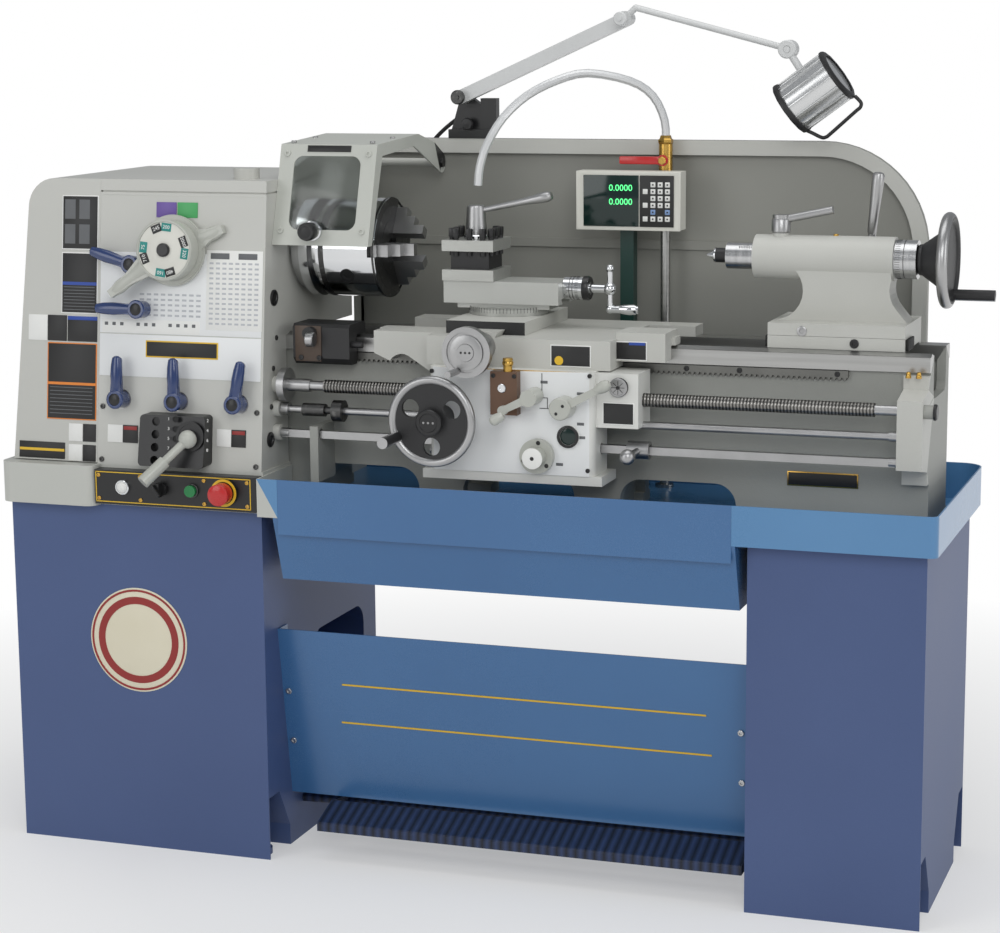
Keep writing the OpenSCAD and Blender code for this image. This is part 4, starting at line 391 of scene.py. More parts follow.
# Dressing the frame's own pieces
def dress(node, material):
    """The whole of a frame node in one material."""
    slots = NODES[node].data.materials
    slots.clear()
    slots.append(material)
    for face in NODES[node].data.polygons:
        face.material_index = 0


def repaint(node, material, where):
    """Gives another material to faces of a node that where(x, y, z, normal) picks, in drawing millimetres."""
    mesh = NODES[node].data
    mesh.materials.append(material)
    last = len(mesh.materials) - 1
    for face in mesh.polygons:
        x, y, z = face.center * 1000
        if where(x + MIDDLE_X, y + MIDDLE_Y, z, face.normal):
            face.material_index = last


# Modelling
LEAST_EDGE = 0.12
SMOOTH_ANGLE = math.radians(35)
FACES_FRONT = -0.9


def settle(piece, name, body, material, edge=0.0, segments=2):
    """Puts a piece's place into its mesh, rounds its edges, and gives it a name, a finish and a body."""
    bpy.ops.object.select_all(action="DESELECT")
    piece.select_set(True)
    bpy.context.view_layer.objects.active = piece
    bpy.ops.object.transform_apply(location=True, rotation=True, scale=True)
    if edge:
        rounding = piece.modifiers.new("edges", "BEVEL")
        rounding.width = edge / 1000
        rounding.segments = segments
        rounding.limit_method = "ANGLE"
        bpy.ops.object.modifier_apply(modifier="edges")
    bpy.ops.object.shade_smooth_by_angle(angle=SMOOTH_ANGLE)
    piece.name = name
    piece.data.name = name
    piece.data.materials.clear()
    piece.data.materials.append(material)
    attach(piece, body)
    return piece


def slab(name, body, material, centre, size, edge=0.6, turn=(0, 0, 0), sunk=0.0, rim=0.0):
    """A bevelled plate. Where sunk is given its front face is inset by rim and pushed in by that much."""
    bpy.ops.object.select_all(action="DESELECT")
    bpy.ops.mesh.primitive_cube_add(size=1, scale=[v / 1000 for v in size])
    piece = bpy.context.object
    bpy.ops.object.transform_apply(location=True, rotation=True, scale=True)
    if sunk:
        bpy.ops.object.mode_set(mode="EDIT")
        bpy.ops.mesh.select_all(action="DESELECT")
        bpy.ops.object.mode_set(mode="OBJECT")
        for face in piece.data.polygons:
            face.select = face.normal.y < FACES_FRONT
        bpy.ops.object.mode_set(mode="EDIT")
        bpy.ops.mesh.select_mode(type="FACE")
        bpy.ops.mesh.inset(thickness=rim / 1000, depth=-sunk / 1000)
        bpy.ops.object.mode_set(mode="OBJECT")
    piece.rotation_euler = turn.to_euler() if isinstance(turn, Matrix) else turn
    piece.location = at(*centre)
    return settle(piece, name, body, material, edge or LEAST_EDGE, 1 if not edge else 2)


def face_slab(name, body, material, x0, z1, x1, z0, out=1.2, thick=1.2, edge=0.3, **more):
    """A plate lying on the leaning front of the headstock or its cover, from its corners."""
    middle = on_face((x0 + x1) / 2, (z0 + z1) / 2, out - thick / 2)
    size = (x1 - x0, thick, (z1 - z0) / math.cos(LEAN))
    return slab(name, body, material, middle, size, edge, (-LEAN, 0, 0), **more)


def turned(name, body, material, start, direction, steps, sides=40, edge=0.0, closed=False):
    """A round piece, drawn as a circle and extruded through steps of (distance along, radius).

    Where closed is given the steps come back to their start, and the piece is a ring without end faces.
    """
    bpy.ops.object.select_all(action="DESELECT")
    first, radius = steps[0]
    bpy.ops.mesh.primitive_circle_add(vertices=sides, radius=radius / 1000, location=(0, 0, first / 1000),
                                      fill_type="NOTHING" if closed else "NGON")
    piece = bpy.context.object
    bpy.ops.object.transform_apply(location=True, rotation=True, scale=True)
    bpy.ops.object.mode_set(mode="EDIT")
    bpy.ops.mesh.select_all(action="SELECT")
    extrude = bpy.ops.mesh.extrude_edges_move if closed else bpy.ops.mesh.extrude_region_move
    for (before, radius), (after, wider) in zip(steps, steps[1:]):
        extrude(TRANSFORM_OT_translate={"value": (0, 0, (after - before) / 1000)})
        share = wider / radius
        bpy.ops.transform.resize(value=(share, share, 1))
    bpy.ops.mesh.select_all(action="SELECT")
    bpy.ops.mesh.remove_doubles(threshold=0.00001)
    bpy.ops.mesh.normals_make_consistent(inside=False)
    bpy.ops.object.mode_set(mode="OBJECT")
    piece.rotation_euler = Vector((0, 0, 1)).rotation_difference(Vector(direction)).to_euler()
    piece.location = at(*start)
    return settle(piece, name, body, material, edge)


def copies(name, piece, places, body):
    """One group of the same piece at several offsets in millimetres, the first of them the piece itself."""
    made = [piece]
    for offset in places:
        twin = piece.copy()
        twin.data = piece.data.copy()
        twin.location = Vector(offset) / 1000
        scene.collection.objects.link(twin)
        made.append(twin)
    return gather(name, made, body)


def spun(name, piece, centre, axis, angles, body):
    """One group of the same piece turned about an axis by each angle, with the piece itself."""
    made = [piece]
    middle = at(*centre)
    for angle in angles:
        twin = piece.copy()
        twin.data = piece.data.copy()
        scene.collection.objects.link(twin)
        turn = Matrix.Rotation(angle, 4, Vector(axis))
        twin.matrix_world = Matrix.Translation(middle) @ turn @ Matrix.Translation(-middle)
        made.append(twin)
    return gather(name, made, body)


def all_round(count):
    """The angles of a full ring of copies, without the first."""
    return [math.tau * i / count for i in range(1, count)]


def down_face(drops):
    """Offsets of copies that go down the leaning front."""
    return [(0, -drop * math.sin(LEAN), -drop) for drop in drops]


def flat_ring(inner, outer, wide):
    """The steps of a flat band round a bar."""
    return [(0, inner), (0, outer), (wide, outer), (wide, inner), (0, inner)]


def capped(radius, straight, high, top, tip=0.1):
    """The steps of a low round cap with a bevelled rim."""
    return [(0, radius), (straight, radius), (high, top), (high, tip)]


def gather(name, made, body):
    """Joins pieces of one finish into one group."""
    bpy.ops.object.select_all(action="DESELECT")
    for twin in made:
        twin.parent = None
        twin.select_set(True)
    bpy.context.view_layer.objects.active = made[0]
    if len(made) > 1:
        bpy.ops.object.join()
    group = bpy.context.object
    bpy.ops.object.transform_apply(location=True, rotation=True, scale=True)
    group.name = name
    group.data.name = name
    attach(group, body)
    return group


def screws(name, body, material, places, direction, radius=4.0, head=2.5):
    """Socket screw heads in one group."""
    steps = [(-1, radius), (head - 0.6, radius), (head, radius * 0.86), (head, radius * 0.5),
             (head * 0.35, radius * 0.46)]
    first = turned(name, body, material, places[0], direction, steps, sides=12)
    rest = [Vector(p) - Vector(places[0]) for p in places[1:]]
    return copies(name, first, rest, body)


def writing(name, body, material, text, centre, size, turn=(math.pi / 2, 0, 0), thick=0.3):
    """Plain numbers, raised a little from what they lie on."""
    bpy.ops.object.select_all(action="DESELECT")
    bpy.ops.object.text_add()
    piece = bpy.context.object
    piece.data.body = text
    piece.data.size = size / 1000
    piece.data.extrude = thick / 1000
    piece.data.resolution_u = 3
    piece.data.align_x = "CENTER"
    piece.data.align_y = "CENTER"
    bpy.ops.object.convert(target="MESH")
    piece = bpy.context.object
    piece.rotation_euler = turn.to_euler() if isinstance(turn, Matrix) else turn
    piece.location = at(*centre)
    return settle(piece, name, body, material)


def scale_marks(name, body, material, centre, axis, radius, count, length, width=0.6, start=0.0):
    """Engraved lines round a collar."""
    along = Vector(axis)
    side = Vector((0, 0, 1)) if abs(along.z) < 0.5 else Vector((1, 0, 0))
    size = [length if abs(a) > 0.5 else width for a in along]
    size = [0.8 if abs(s) > 0.5 else v for s, v in zip(side, size)]
    first = slab(name, body, material, Vector(centre) + (along * start) + side * radius, size, 0)
    return spun(name, first, centre, axis, all_round(count), body)


# Main finishes on the frame
for material, nodes in (
        (PEDESTAL_BLUE, ("left_pedestal", "right_pedestal")),
        (PAN_BLUE, ("chip_pan",)),
        (DRAWER_BLUE, ("chip_drawer", "kick_panel")),
        (TREAD_BLUE, ("brake_pedal",)),
        (BED_GREY, ("bed",)),
        (BODY_GREY, ("headstock", "end_cover")),
        (BLACK, ("mode_switch",)),
        (GREEN, ("start_button",)),
        (RED, ("stop_button", "valve_handle")),
        (LEVER_GREY, ("speed_dial", "range_lever", "apron_feed_lever", "half_nut_lever", "feed_knob")),
        (NAVY, ("thread_lever_upper", "thread_lever_lower", "feed_lever_left", "feed_lever_middle",
               "feed_lever_right")),
        (SATIN, ("selector_lever", "chuck_jaw_1", "chuck_jaw_2", "chuck_jaw_3", "feed_rod",
                "control_rod", "control_lever", "cross_slide_wheel", "tool_post_lever",
                "quill_lock_lever", "tailstock_clamp_lever")),
        (TURNED, ("spindle", "chuck_body", "quill", "live_center")),
        (DARK_STEEL, ("idler_gear",)),
        (GUARD_GREY, ("chuck_guard",)),
        (THREAD, ("leadscrew",)),
        (IRON_BLACK, ("carriage_stop", "apron_handwheel", "thread_dial", "tailstock_wheel")),
        (CREAM, ("saddle", "cross_slide", "tailstock")),
        (APRON_WHITE, ("apron",)),
        (PLATE_SATIN, ("compound_base", "tool_post")),
        (SLIDE_GREY, ("compound_slide",)),
        (CHROME, ("compound_crank",)),
        (SPLASH_GREY, ("splash_guard",)),
        (PEARL, ("readout",)),
        (SPOUT, ("coolant_line",)),
        (LAMP_GREY, ("lamp_arm", "lamp_rod")),
        (LAMP_FINS, ("lamp_head",)),
        (RUBBER, ("lamp_cable",))):
    for node in nodes:
        dress(node, material)


# Bare metal, trim and dark parts of the frame's nodes
def inside(low, high):
    """Picks faces whose middle lies in a box of the drawing."""
    return lambda x, y, z, n: all(a <= v <= b for a, v, b in zip(low, (x, y, z), high))


repaint("bed", GROUND, lambda x, y, z, n: z > 958)
repaint("bed", RACK, inside((-340, -61, 938), (690, -51.6, 958)))
repaint("bed", CREAM, inside((780, -140, 760), (830, -52.3, 956)))
repaint("headstock", BLACK, lambda x, y, z, n: y < face_y(z) - 2 and x < -372)
repaint("headstock", TURNED,
        lambda x, y, z, n: x > -374.8 and n.x > -0.5 and abs(y - AXIS_Y) < 100 and abs(z - AXIS_Z) < 100)
repaint("chuck_body", CHROME, lambda x, y, z, n: abs(n.x) < 0.3)
repaint("chuck_body", DARK_STEEL, lambda x, y, z, n: n.x > 0.9)
repaint("spindle", DARK_STEEL, lambda x, y, z, n: -352.5 < x < -334)
repaint("feed_rod", DARK_STEEL, lambda x, y, z, n: -320 < x < -236)
repaint("leadscrew", SATIN, lambda x, y, z, n: x < -275 or x > 745)
repaint("splash_guard", BODY_GREY, lambda x, y, z, n: y < 306 and n.y < -0.9)
repaint("splash_guard", BLACK, lambda x, y, z, n: z > 1333.8)
repaint("readout", POST_GREEN, lambda x, y, z, n: z < 1168)
repaint("tool_post", IRON_BLACK, inside((-82, -4, 1109.3), (16, 94, 1143.1)))
repaint("tool_post", BLACK, lambda x, y, z, n: z > 1163.4)
repaint("cross_slide", IRON_BLACK, lambda x, y, z, n: n.y < -0.5)
repaint("chuck_guard", BLACK, lambda x, y, z, n: z > 1278 and y > 235)
repaint("apron_handwheel", SATIN, lambda x, y, z, n: math.hypot(x - WHEEL_X, z - WHEEL_Z) > 66.5)
repaint("tailstock_wheel", SATIN, lambda x, y, z, n: math.hypot(y - AXIS_Y, z - AXIS_Z) > 76)
repaint("tailstock_wheel", TURNED, lambda x, y, z, n: x < 787)
repaint("chuck_guard", PLASTIC, lambda x, y, z, n: y < -113.5 and 1168 < z < 1202 and abs(x - KNOB_X) < 16)
for node in ("chip_pan", "left_pedestal"):
    repaint(node, TRAY_GREY, lambda x, y, z, n: z > 667 and x < -345)
repaint("tailstock", GROUND, lambda x, y, z, n: z < 990)
repaint("apron", WHITE_PLATE, lambda x, y, z, n: n.y < -0.9 and abs(y - APRON_Y) < 1.5)
repaint("live_center", PLASTIC, lambda x, y, z, n: 421.5 < x < 444.5 and abs(n.x) < 0.5)
repaint("live_center", CHROME, lambda x, y, z, n: x < 421.5)
repaint("selector_lever", LEVER_GREY, lambda x, y, z, n: y < -225)


# Badge of the left pedestal, kick panel and drawer
BADGE_X = -638
BADGE_Z = 409
KICK_TOP_Y = -126
KICK_TOP_Z = 436
KICK_RUN = 51
KICK_RISE = 334
KICK_LEAN = math.atan(KICK_RUN / KICK_RISE)
OUT_OF_KICK = Vector((0, -math.cos(KICK_LEAN), -math.sin(KICK_LEAN)))


def kick_y(z):
    """Where the leaning kick panel is at a height."""
    return KICK_TOP_Y + (KICK_TOP_Z - z) * KICK_RUN / KICK_RISE


turned("badge_disc", "frame", BADGE_CREAM, (BADGE_X, FRONT_Y, BADGE_Z), TOWARDS,
       [(-1, 101), (1.2, 101), (1.8, 99.5), (1.8, 0.1)], sides=64)
for name, outer, inner in (("badge_ring_outer", 98, 94), ("badge_ring_inner", 84, 70)):
    turned(name, "frame", BADGE_RED, (BADGE_X, FRONT_Y - 1.6, BADGE_Z), TOWARDS,
           [(0, outer), (0.8, outer), (0.8, inner), (0, inner), (0, outer)], sides=64, closed=True)
for name, x0, x1, z in (("yellow_line_upper", -254, 450, 333), ("yellow_line_lower", -261, 458, 256)):
    slab(name, "frame", YELLOW, ((x0 + x1) / 2, kick_y(z) - 0.5, z), (x1 - x0, 1.2, 3.2), 0,
         (KICK_LEAN, 0, 0))
screws("kick_panel_screws", "frame", TURNED,
       [(x, kick_y(z), z) for x, z in ((-365, 311), (-364, 210), (513, 305), (512, 208))], OUT_OF_KICK,
       radius=6, head=3)
slab("drawer_seam", "chip_drawer", DARK_STEEL, (93, -184.5, 610), (846, 1.0, 1.4), 0)

# Headstock front: white panels, plates and their screws
face_slab("upper_white_panel", "frame", WHITE_PLATE, -710, 1141, -380, 991, out=1.0)
face_slab("lower_white_panel", "frame", WHITE_PLATE, -710, 989, -380, 911, out=1.0)
face_slab("name_place_border", "frame", YELLOW, -614, 979, -466, 948, out=1.8)
face_slab("name_place", "frame", LABEL_BLACK, -611.5, 976.5, -468.5, 950.5, out=2.4)
face_slab("speed_table", "frame", LABEL_WHITE, -492, 1148, -379, 1002, out=1.25)
BAR_SHARE = 0.62
ROW_SHARE = 0.38


def table(name, x0, z1, columns, rows, wide, high):
    """Rows of short grey bars, as a table of figures looks from a step away."""
    bar = face_slab(name, "frame", TABLE_GREY, x0, z1, x0 + wide * BAR_SHARE, z1 - high * ROW_SHARE, out=1.5,
                    edge=0)
    steps = [(wide * i, -high * j * math.sin(LEAN), -high * j)
             for j in range(rows) for i in range(columns) if i or j]
    copies(name, bar, steps, "frame")


table("speed_table_figures", -486, 1126, 8, 13, 13, 9.2)
table("feed_table_figures", -628, 1066, 9, 5, 14.5, 9.6)
for name, x0, x1 in (("table_mark_left", -484, -446), ("table_mark_right", -428, -390)):
    face_slab(name, "frame", INK, x0, 1143, x1, 1132, out=1.5)
face_slab("range_plate_left", "frame", PURPLE, -596, 1234, -555, 1206, out=1.6)
face_slab("range_plate_right", "frame", LEAF, -553, 1234, -512, 1206, out=1.6)
face_slab("lever_mark_plate", "frame", LABEL_WHITE, -705, 1017, -504, 992, out=1.25)
mark = face_slab("lever_marks", "frame", INK, -700, 1011, -693, 1005, out=1.5, edge=0)
copies("lever_marks", mark, [(x, 0, 0) for x in (16, 32, 66, 82, 98, 132, 148, 164, 180)], "frame")
for name, x0, x1, z1, z0 in (("left_note", -691, -628, 820, 787), ("right_note", -466, -407, 821, 789)):
    middle = (x0 + x1) / 2
    face_slab(name, "frame", LABEL_WHITE, x0, z1, middle, z0, out=1.4)
    face_slab(name + "_dark", "frame", LABEL_BLACK, middle, z1, x1, z0, out=1.4)
    face_slab(name + "_head", "frame", BADGE_RED, middle + 2, z1 - 2, x1 - 2, z1 - 9, out=1.8)
screws("headstock_screws", "frame", DARK_STEEL,
       [on_face(x, z, 0) for x, z in ((-702, 853), (-703, 754), (-386, 854), (-491, 755), (-386, 755))],
       OUT_OF_FACE, radius=5, head=3)
slab("lid_band", "frame", BODY_GREY, on_face(-543, 1246, -0.6), (330, 1.6, 2.0), 0.4, (-LEAN, 0, 0))


# End cover plates, left without words
def bordered(name, body, border, field, x0, z1, x1, z0, rim=2.0):
    """A plate with a thin border round its field."""
    face_slab(name + "_border", body, border, x0, z1, x1, z0, out=1.0)
    return face_slab(name, body, field, x0 + rim, z1 - rim, x1 - rim, z0 + rim, out=1.4, thick=1.0)


bordered("upper_plate", "end_cover", LABEL_WHITE, LABEL_BLACK, -792, 1244, -716, 1143)
bordered("hand_plate", "end_cover", LABEL_WHITE, LABEL_BLACK, -792, 1138, -716, 1024)
bordered("thread_plate", "end_cover", LABEL_ORANGE, LABEL_BLACK, -820, 969, -716, 825)
for name, material, corners in (
        ("cover_note_left", LABEL_WHITE, (-861, 1020, -821, 972)),
        ("cover_note_left_dark", LABEL_BLACK, (-820, 1020, -780, 972)),
        ("cover_note_right", LABEL_BLACK, (-778, 1012, -716, 972)),
        ("cover_note_right_head", LABEL_BLUE, (-778, 1019, -716, 1012)),
        ("small_note_upper", LABEL_WHITE, (-773, 818, -744, 785)),
        ("small_note_upper_dark", LABEL_BLACK, (-743, 818, -716, 785)),
        ("small_note_lower", LABEL_WHITE, (-773, 779, -744, 748)),
        ("small_note_lower_dark", LABEL_BLACK, (-743, 779, -716, 748)),
        ("olive_note", LABEL_BLACK, (-878, 781, -781, 750))):
    face_slab(name, "end_cover", material, *corners, out=1.2)
face_slab("olive_note_band", "end_cover", YELLOW, -877, 769, -782, 764, out=1.5, edge=0)
face_slab("hand_plate_band", "end_cover", LABEL_BLUE, -790, 1083, -718, 1077, out=1.6, edge=0)
face_slab("thread_plate_band", "end_cover", LABEL_ORANGE, -818, 895, -718, 890, out=1.6, edge=0)
half = face_slab("upper_plate_field", "end_cover", INK, -786, 1236, -764, 1200, out=1.6, edge=0)
copies("upper_plate_field", half,
       [(0, -46 * math.sin(LEAN), -46), (30, 0, 0), (30, -46 * math.sin(LEAN), -46)], "end_cover")
text_row = face_slab("hand_plate_rows", "end_cover", INK, -787, 1074, -722, 1072.6, out=1.6, edge=0)
copies("hand_plate_rows", text_row, down_face([6 * i for i in range(1, 8)]), "end_cover")
thread_row = face_slab("thread_plate_rows", "end_cover", INK, -814, 886, -724, 884.6, out=1.6, edge=0)
copies("thread_plate_rows", thread_row, down_face([7 * i for i in range(1, 8)]), "end_cover")


# Speed dial and range lever
IN_FACE_UP = Vector((0, math.sin(LEAN), math.cos(LEAN)))


def face_way(angle):
    """A direction lying in the leaning front, by its angle from +X in degrees."""
    return math.cos(math.radians(angle)) * Vector((1, 0, 0)) + math.sin(math.radians(angle)) * IN_FACE_UP


def face_turn(angle):
    """Turns what is drawn lying on the ground, so that it lies on the leaning front at an angle."""
    return Matrix.Rotation(math.radians(angle), 4, OUT_OF_FACE) @ Matrix.Rotation(math.pi / 2 - LEAN, 4, "X")


DIAL = (-558, 1146)
dial_face = on_face(*DIAL, 43.4)
turned("dial_bezel", "speed_dial", LEVER_GREY, dial_face, OUT_OF_FACE,
       [(0, 56), (2.5, 56), (3.5, 54.5), (3.5, 52), (1, 51), (0.4, 0.1)], sides=72)
turned("dial_plate", "speed_dial", PEARL, dial_face, OUT_OF_FACE,
       [(0.3, 51), (1.6, 51), (1.6, 33), (2.2, 32), (2.2, 12), (2.2, 0.1)], sides=72)
turned("dial_hub", "speed_dial", BLACK, dial_face, OUT_OF_FACE, [(2, 12.5), (7, 12.5), (9, 10.5), (9, 0.1)],
       sides=32)
turned("range_ring_lip", "range_lever", LEVER_GREY, on_face(*DIAL, 6), OUT_OF_FACE,
       [(0, 62.8), (0, 65), (3, 66), (6, 65), (6, 62.8), (0, 62.8)], sides=72, closed=True)
for k, (angle, material, number) in enumerate((
        (112, BLACK, "245"), (84, TEAL, "200"), (22, BLACK, "2000"), (-8, TEAL, "320"), (-72, BLACK, "480"),
        (-98, TEAL, "160"), (-158, BLACK, "710"), (174, TEAL, "75"))):
    spot = dial_face + 42 * face_way(angle)
    turn = face_turn(angle - 90)
    slab("dial_patch_%d" % k, "speed_dial", material, spot + 1.7 * OUT_OF_FACE, (20, 15, 0.8), 0.3, turn)
    writing("dial_number_%d" % k, "speed_dial", LABEL_WHITE, number, spot + 2.2 * OUT_OF_FACE, 9.5, turn)


def tapered_arm(name, body, material, start, way, steps, flat=0.62):
    """A lever's rounded arm, swept along its way and flattened towards the face it lies over."""
    arm = turned(name, body, material, start, way, steps, sides=20)
    middle = at(*start)
    squeeze = Matrix.Scale(flat, 4, OUT_OF_FACE)
    arm.data.transform(Matrix.Translation(middle) @ squeeze @ Matrix.Translation(-middle))
    return arm


tapered_arm("dial_arm_grip", "speed_dial", LEVER_GREY, on_face(*DIAL, 37.5) + 52 * face_way(217),
            face_way(217),
            [(0, 17), (14, 15), (34, 12.5), (50, 12.5), (64, 13), (78, 10), (88, 5), (89, 0.4)])
tapered_arm("range_arm_grip", "range_lever", LEVER_GREY, on_face(*DIAL, 9.5) + 60 * face_way(22),
            face_way(22), [(0, 14), (12, 12), (26, 13), (40, 11), (50, 6), (51, 0.4)], flat=0.5)

# Blue levers: a rounded arm with a waist, a collar and a dark cap
for name, x, z, angle, length in (
        ("thread_lever_upper", -636, 1118, 164, 78),
        ("thread_lever_lower", -621, 1036, 180, 78),
        ("feed_lever_left", -662, 868, 90, 72),
        ("feed_lever_middle", -544, 868, 92, 72),
        ("feed_lever_right", -422, 868, 81, 72)):
    way = face_way(angle)
    tapered_arm(name + "_arm", name, NAVY, on_face(x, z, 25) + 6 * way, way,
                [(0, 10), (8, 9), (20, 10.5), (length * 0.55, 12), (length * 0.8, 11), (length, 8.5),
                 (length + 3, 4), (length + 3.5, 0.3)], flat=0.75)
    turned(name + "_collar", name, NAVY, on_face(x, z, 26), OUT_OF_FACE,
           [(0, 16.2), (0, 17.4), (4.5, 17.4), (6.5, 15.4), (6.5, 11.5), (3, 11), (0, 16.2)], sides=36,
           closed=True)
    turned(name + "_cap", name, BLACK, on_face(x, z, 29.6), OUT_OF_FACE, capped(11.6, 2, 3.2, 9.8), sides=28)
    turned(name + "_root", "frame", SATIN, on_face(x, z, 0), OUT_OF_FACE,
           [(0.1, 18.5), (0.6, 18.5), (0.6, 16.6), (0.1, 16.4), (0.1, 18.5)], sides=32, closed=True)

# Gate of the selector lever, its detents and their numbers
GATE_TOP = 838
GATE_STEP = 18
turned("gate_hole", "frame", BLACK, on_face(-502, 808, 40.3), OUT_OF_FACE,
       [(0, 28), (0.8, 28), (0.8, 22), (-3, 21), (-3, 0.1)], sides=36)
detent = turned("gate_detents", "frame", RUBBER, on_face(-531, GATE_TOP, 40.2), OUT_OF_FACE,
                [(0, 6), (0.7, 6), (0.7, 4.5), (-1.5, 4), (-1.5, 0.1)], sides=16)
copies("gate_detents", detent, down_face([GATE_STEP * i for i in range(1, 4)]), "frame")
for k in range(4):
    for side, x, number in (("left", -545, 2 * k + 1), ("right", -466, 2 * k + 2)):
        writing("gate_number_%s_%d" % (side, k), "frame", LABEL_WHITE, str(number),
                on_face(x, GATE_TOP - GATE_STEP * k, 40.5), 8, face_turn(0))

# Control panel: a yellow line round it, screws, a pilot lamp, and the faces of its switch and buttons
PANEL_Y = FRONT_Y - 25
PANEL_ROW = 709
for name, centre, size in (
        ("panel_line_top", (-545, PANEL_Y, 735), (318, 1.0, 1.8)),
        ("panel_line_bottom", (-545, PANEL_Y, 679), (318, 1.0, 1.8)),
        ("panel_line_left", (-703, PANEL_Y, 707), (1.8, 1.0, 57)),
        ("panel_line_right", (-387, PANEL_Y, 707), (1.8, 1.0, 57))):
    slab(name, "frame", YELLOW, centre, size, 0.2)
screws("panel_screws", "frame", BRASS,
       [(x, PANEL_Y, z) for x in (-697, -611, -480, -393) for z in (729, 685)], TOWARDS, radius=4, head=2)
turned("pilot_lamp_rim", "frame", CHROME, (-647, PANEL_Y, 708), TOWARDS,
       [(0, 14), (5, 14), (6, 13), (6, 11), (4, 10.5), (0, 14)], sides=36, closed=True)
turned("pilot_lamp_lens", "frame", LABEL_WHITE, (-647, PANEL_Y, 708), TOWARDS,
       [(0, 10.6), (6, 10.4), (8.5, 7.5), (9.4, 3), (9.5, 0.2)], sides=32)
slab("mode_switch_grip", "mode_switch", PLASTIC, (-567, -235, PANEL_ROW), (7, 9, 24), 2,
     (0, math.radians(-38), 0))
turned("stop_button_face", "stop_button", RED, (-438, -236, PANEL_ROW), TOWARDS,
       [(0, 19.8), (3, 20), (6.5, 18.4), (8.5, 14), (9.2, 7), (9.3, 0.2)], sides=40)
turned("stop_collar_plate", "frame", YELLOW, (-438, PANEL_Y - 6, PANEL_ROW), TOWARDS,
       [(0, 25.8), (0.5, 25.8), (0.6, 21), (0, 21), (0, 25.8)], sides=40, closed=True)
turned("start_button_rim", "frame", DARK_STEEL, (-505, PANEL_Y, PANEL_ROW), TOWARDS,
       [(0, 13.5), (3, 13.5), (3.6, 12.6), (3.6, 11.4), (0, 11.4), (0, 13.5)], sides=32, closed=True)

# Plugs and screws on the headstock's right side
SIDE_X = -375.4
for name, y, z, radius in (("side_plug_large", -112, 1060, 15), ("side_plug_low", -143, 800, 14)):
    turned(name, "frame", BLACK, (SIDE_X, y, z), TO_RIGHT,
           [(0, radius), (3, radius), (4, radius - 1.5), (4, radius - 6), (2, radius - 7), (2, 0.1)],
           sides=28)
screws("side_screws", "frame", DARK_STEEL,
       [(SIDE_X, y, z) for y, z in ((-105, 985), (-122, 930), (-135, 860))], TO_RIGHT, radius=5, head=3)
screws("rod_flange_screws", "frame", DARK_STEEL,
       [(-358, -115 + 24 * math.cos(a), 900 + 24 * math.sin(a)) for a in (0.4, 1.6, 2.8, 4.3, 5.6)], TO_RIGHT,
       radius=3, head=2)


# Chuck guard: window, rivets, plate and knob
GUARD_LEAN = math.atan(55 / 181)
OUT_OF_GUARD = Vector((0, -math.cos(GUARD_LEAN), math.sin(GUARD_LEAN)))


def on_guard(x, z, out=0.0):
    """A point on the guard's sloping front."""
    return Vector((x, -115 + (z - 1158) * math.tan(GUARD_LEAN), z)) + out * OUT_OF_GUARD


slab("guard_window", "chuck_guard", PANE, on_guard(-279.7, 1252, -4.2), (150, 2, 152), 0.4,
     (-GUARD_LEAN, 0, 0))
screws("guard_rivets", "chuck_guard", GUARD_GREY,
       [on_guard(x, z) for x in (-360, -200) for z in (1184, 1322)], OUT_OF_GUARD, radius=6, head=3)
slab("guard_plate", "chuck_guard", LABEL_BLACK, on_guard(-278, 1331, 0.5), (86, 1, 12), 0.2,
     (-GUARD_LEAN, 0, 0))
screws("guard_top_screws", "chuck_guard", SATIN,
       [(x, y, 1341 + (y + 60) * 0.03) for x in (-358, -202) for y in (-40, 60)], UP, radius=5, head=3)
turned("guard_knob_grip", "chuck_guard", PLASTIC, (KNOB_X, -122, KNOB_Z), TOWARDS,
       [(0, 14.9), (2, 16.4), (6, 16.8), (16, 16.8), (20, 15), (23, 11), (24, 8), (24, 0.2)], sides=18,
       edge=0.5)
turned("guard_knob_seat", "chuck_guard", CHROME, (KNOB_X, -110, KNOB_Z), TOWARDS,
       [(0, 19), (4, 18), (5, 15.2), (0, 15.1), (0, 19)], sides=32, closed=True)
turned("guard_pivot_cap", "chuck_guard", DARK_STEEL, (-184.9, 276, 1288), TO_RIGHT, capped(10, 3, 4, 8.5),
       sides=6)

# Chuck: black rings on its face as painted shade in its grooves, bands on its rim and key sockets
for k, radius in enumerate((28, 52, 78)):
    turned("chuck_groove_shade_%d" % k, "spindle_unit", BLACK, (-200, AXIS_Y, AXIS_Z), TO_RIGHT,
           [(-0.4, radius), (0.3, radius), (0.3, radius + 1.6), (-0.4, radius + 1.6), (-0.4, radius)],
           sides=72, closed=True)
for k, (x, wide) in enumerate(((-312, 10), (-206, 4))):
    turned("chuck_band_%d" % k, "spindle_unit", DARK_STEEL, (x, AXIS_Y, AXIS_Z), TO_RIGHT,
           flat_ring(92.4, 93.5, wide), sides=96, closed=True)
SOCKET_X = -259
socket = turned("chuck_key_sockets", "spindle_unit", BLACK, (SOCKET_X, AXIS_Y, AXIS_Z + 92.6), UP,
                [(0, 14), (0.8, 14), (0.8, 8.5), (-0.6, 8), (-0.6, 0.1)], sides=24)
spun("chuck_key_sockets", socket, (SOCKET_X, AXIS_Y, AXIS_Z), TO_RIGHT, all_round(3), "spindle_unit")

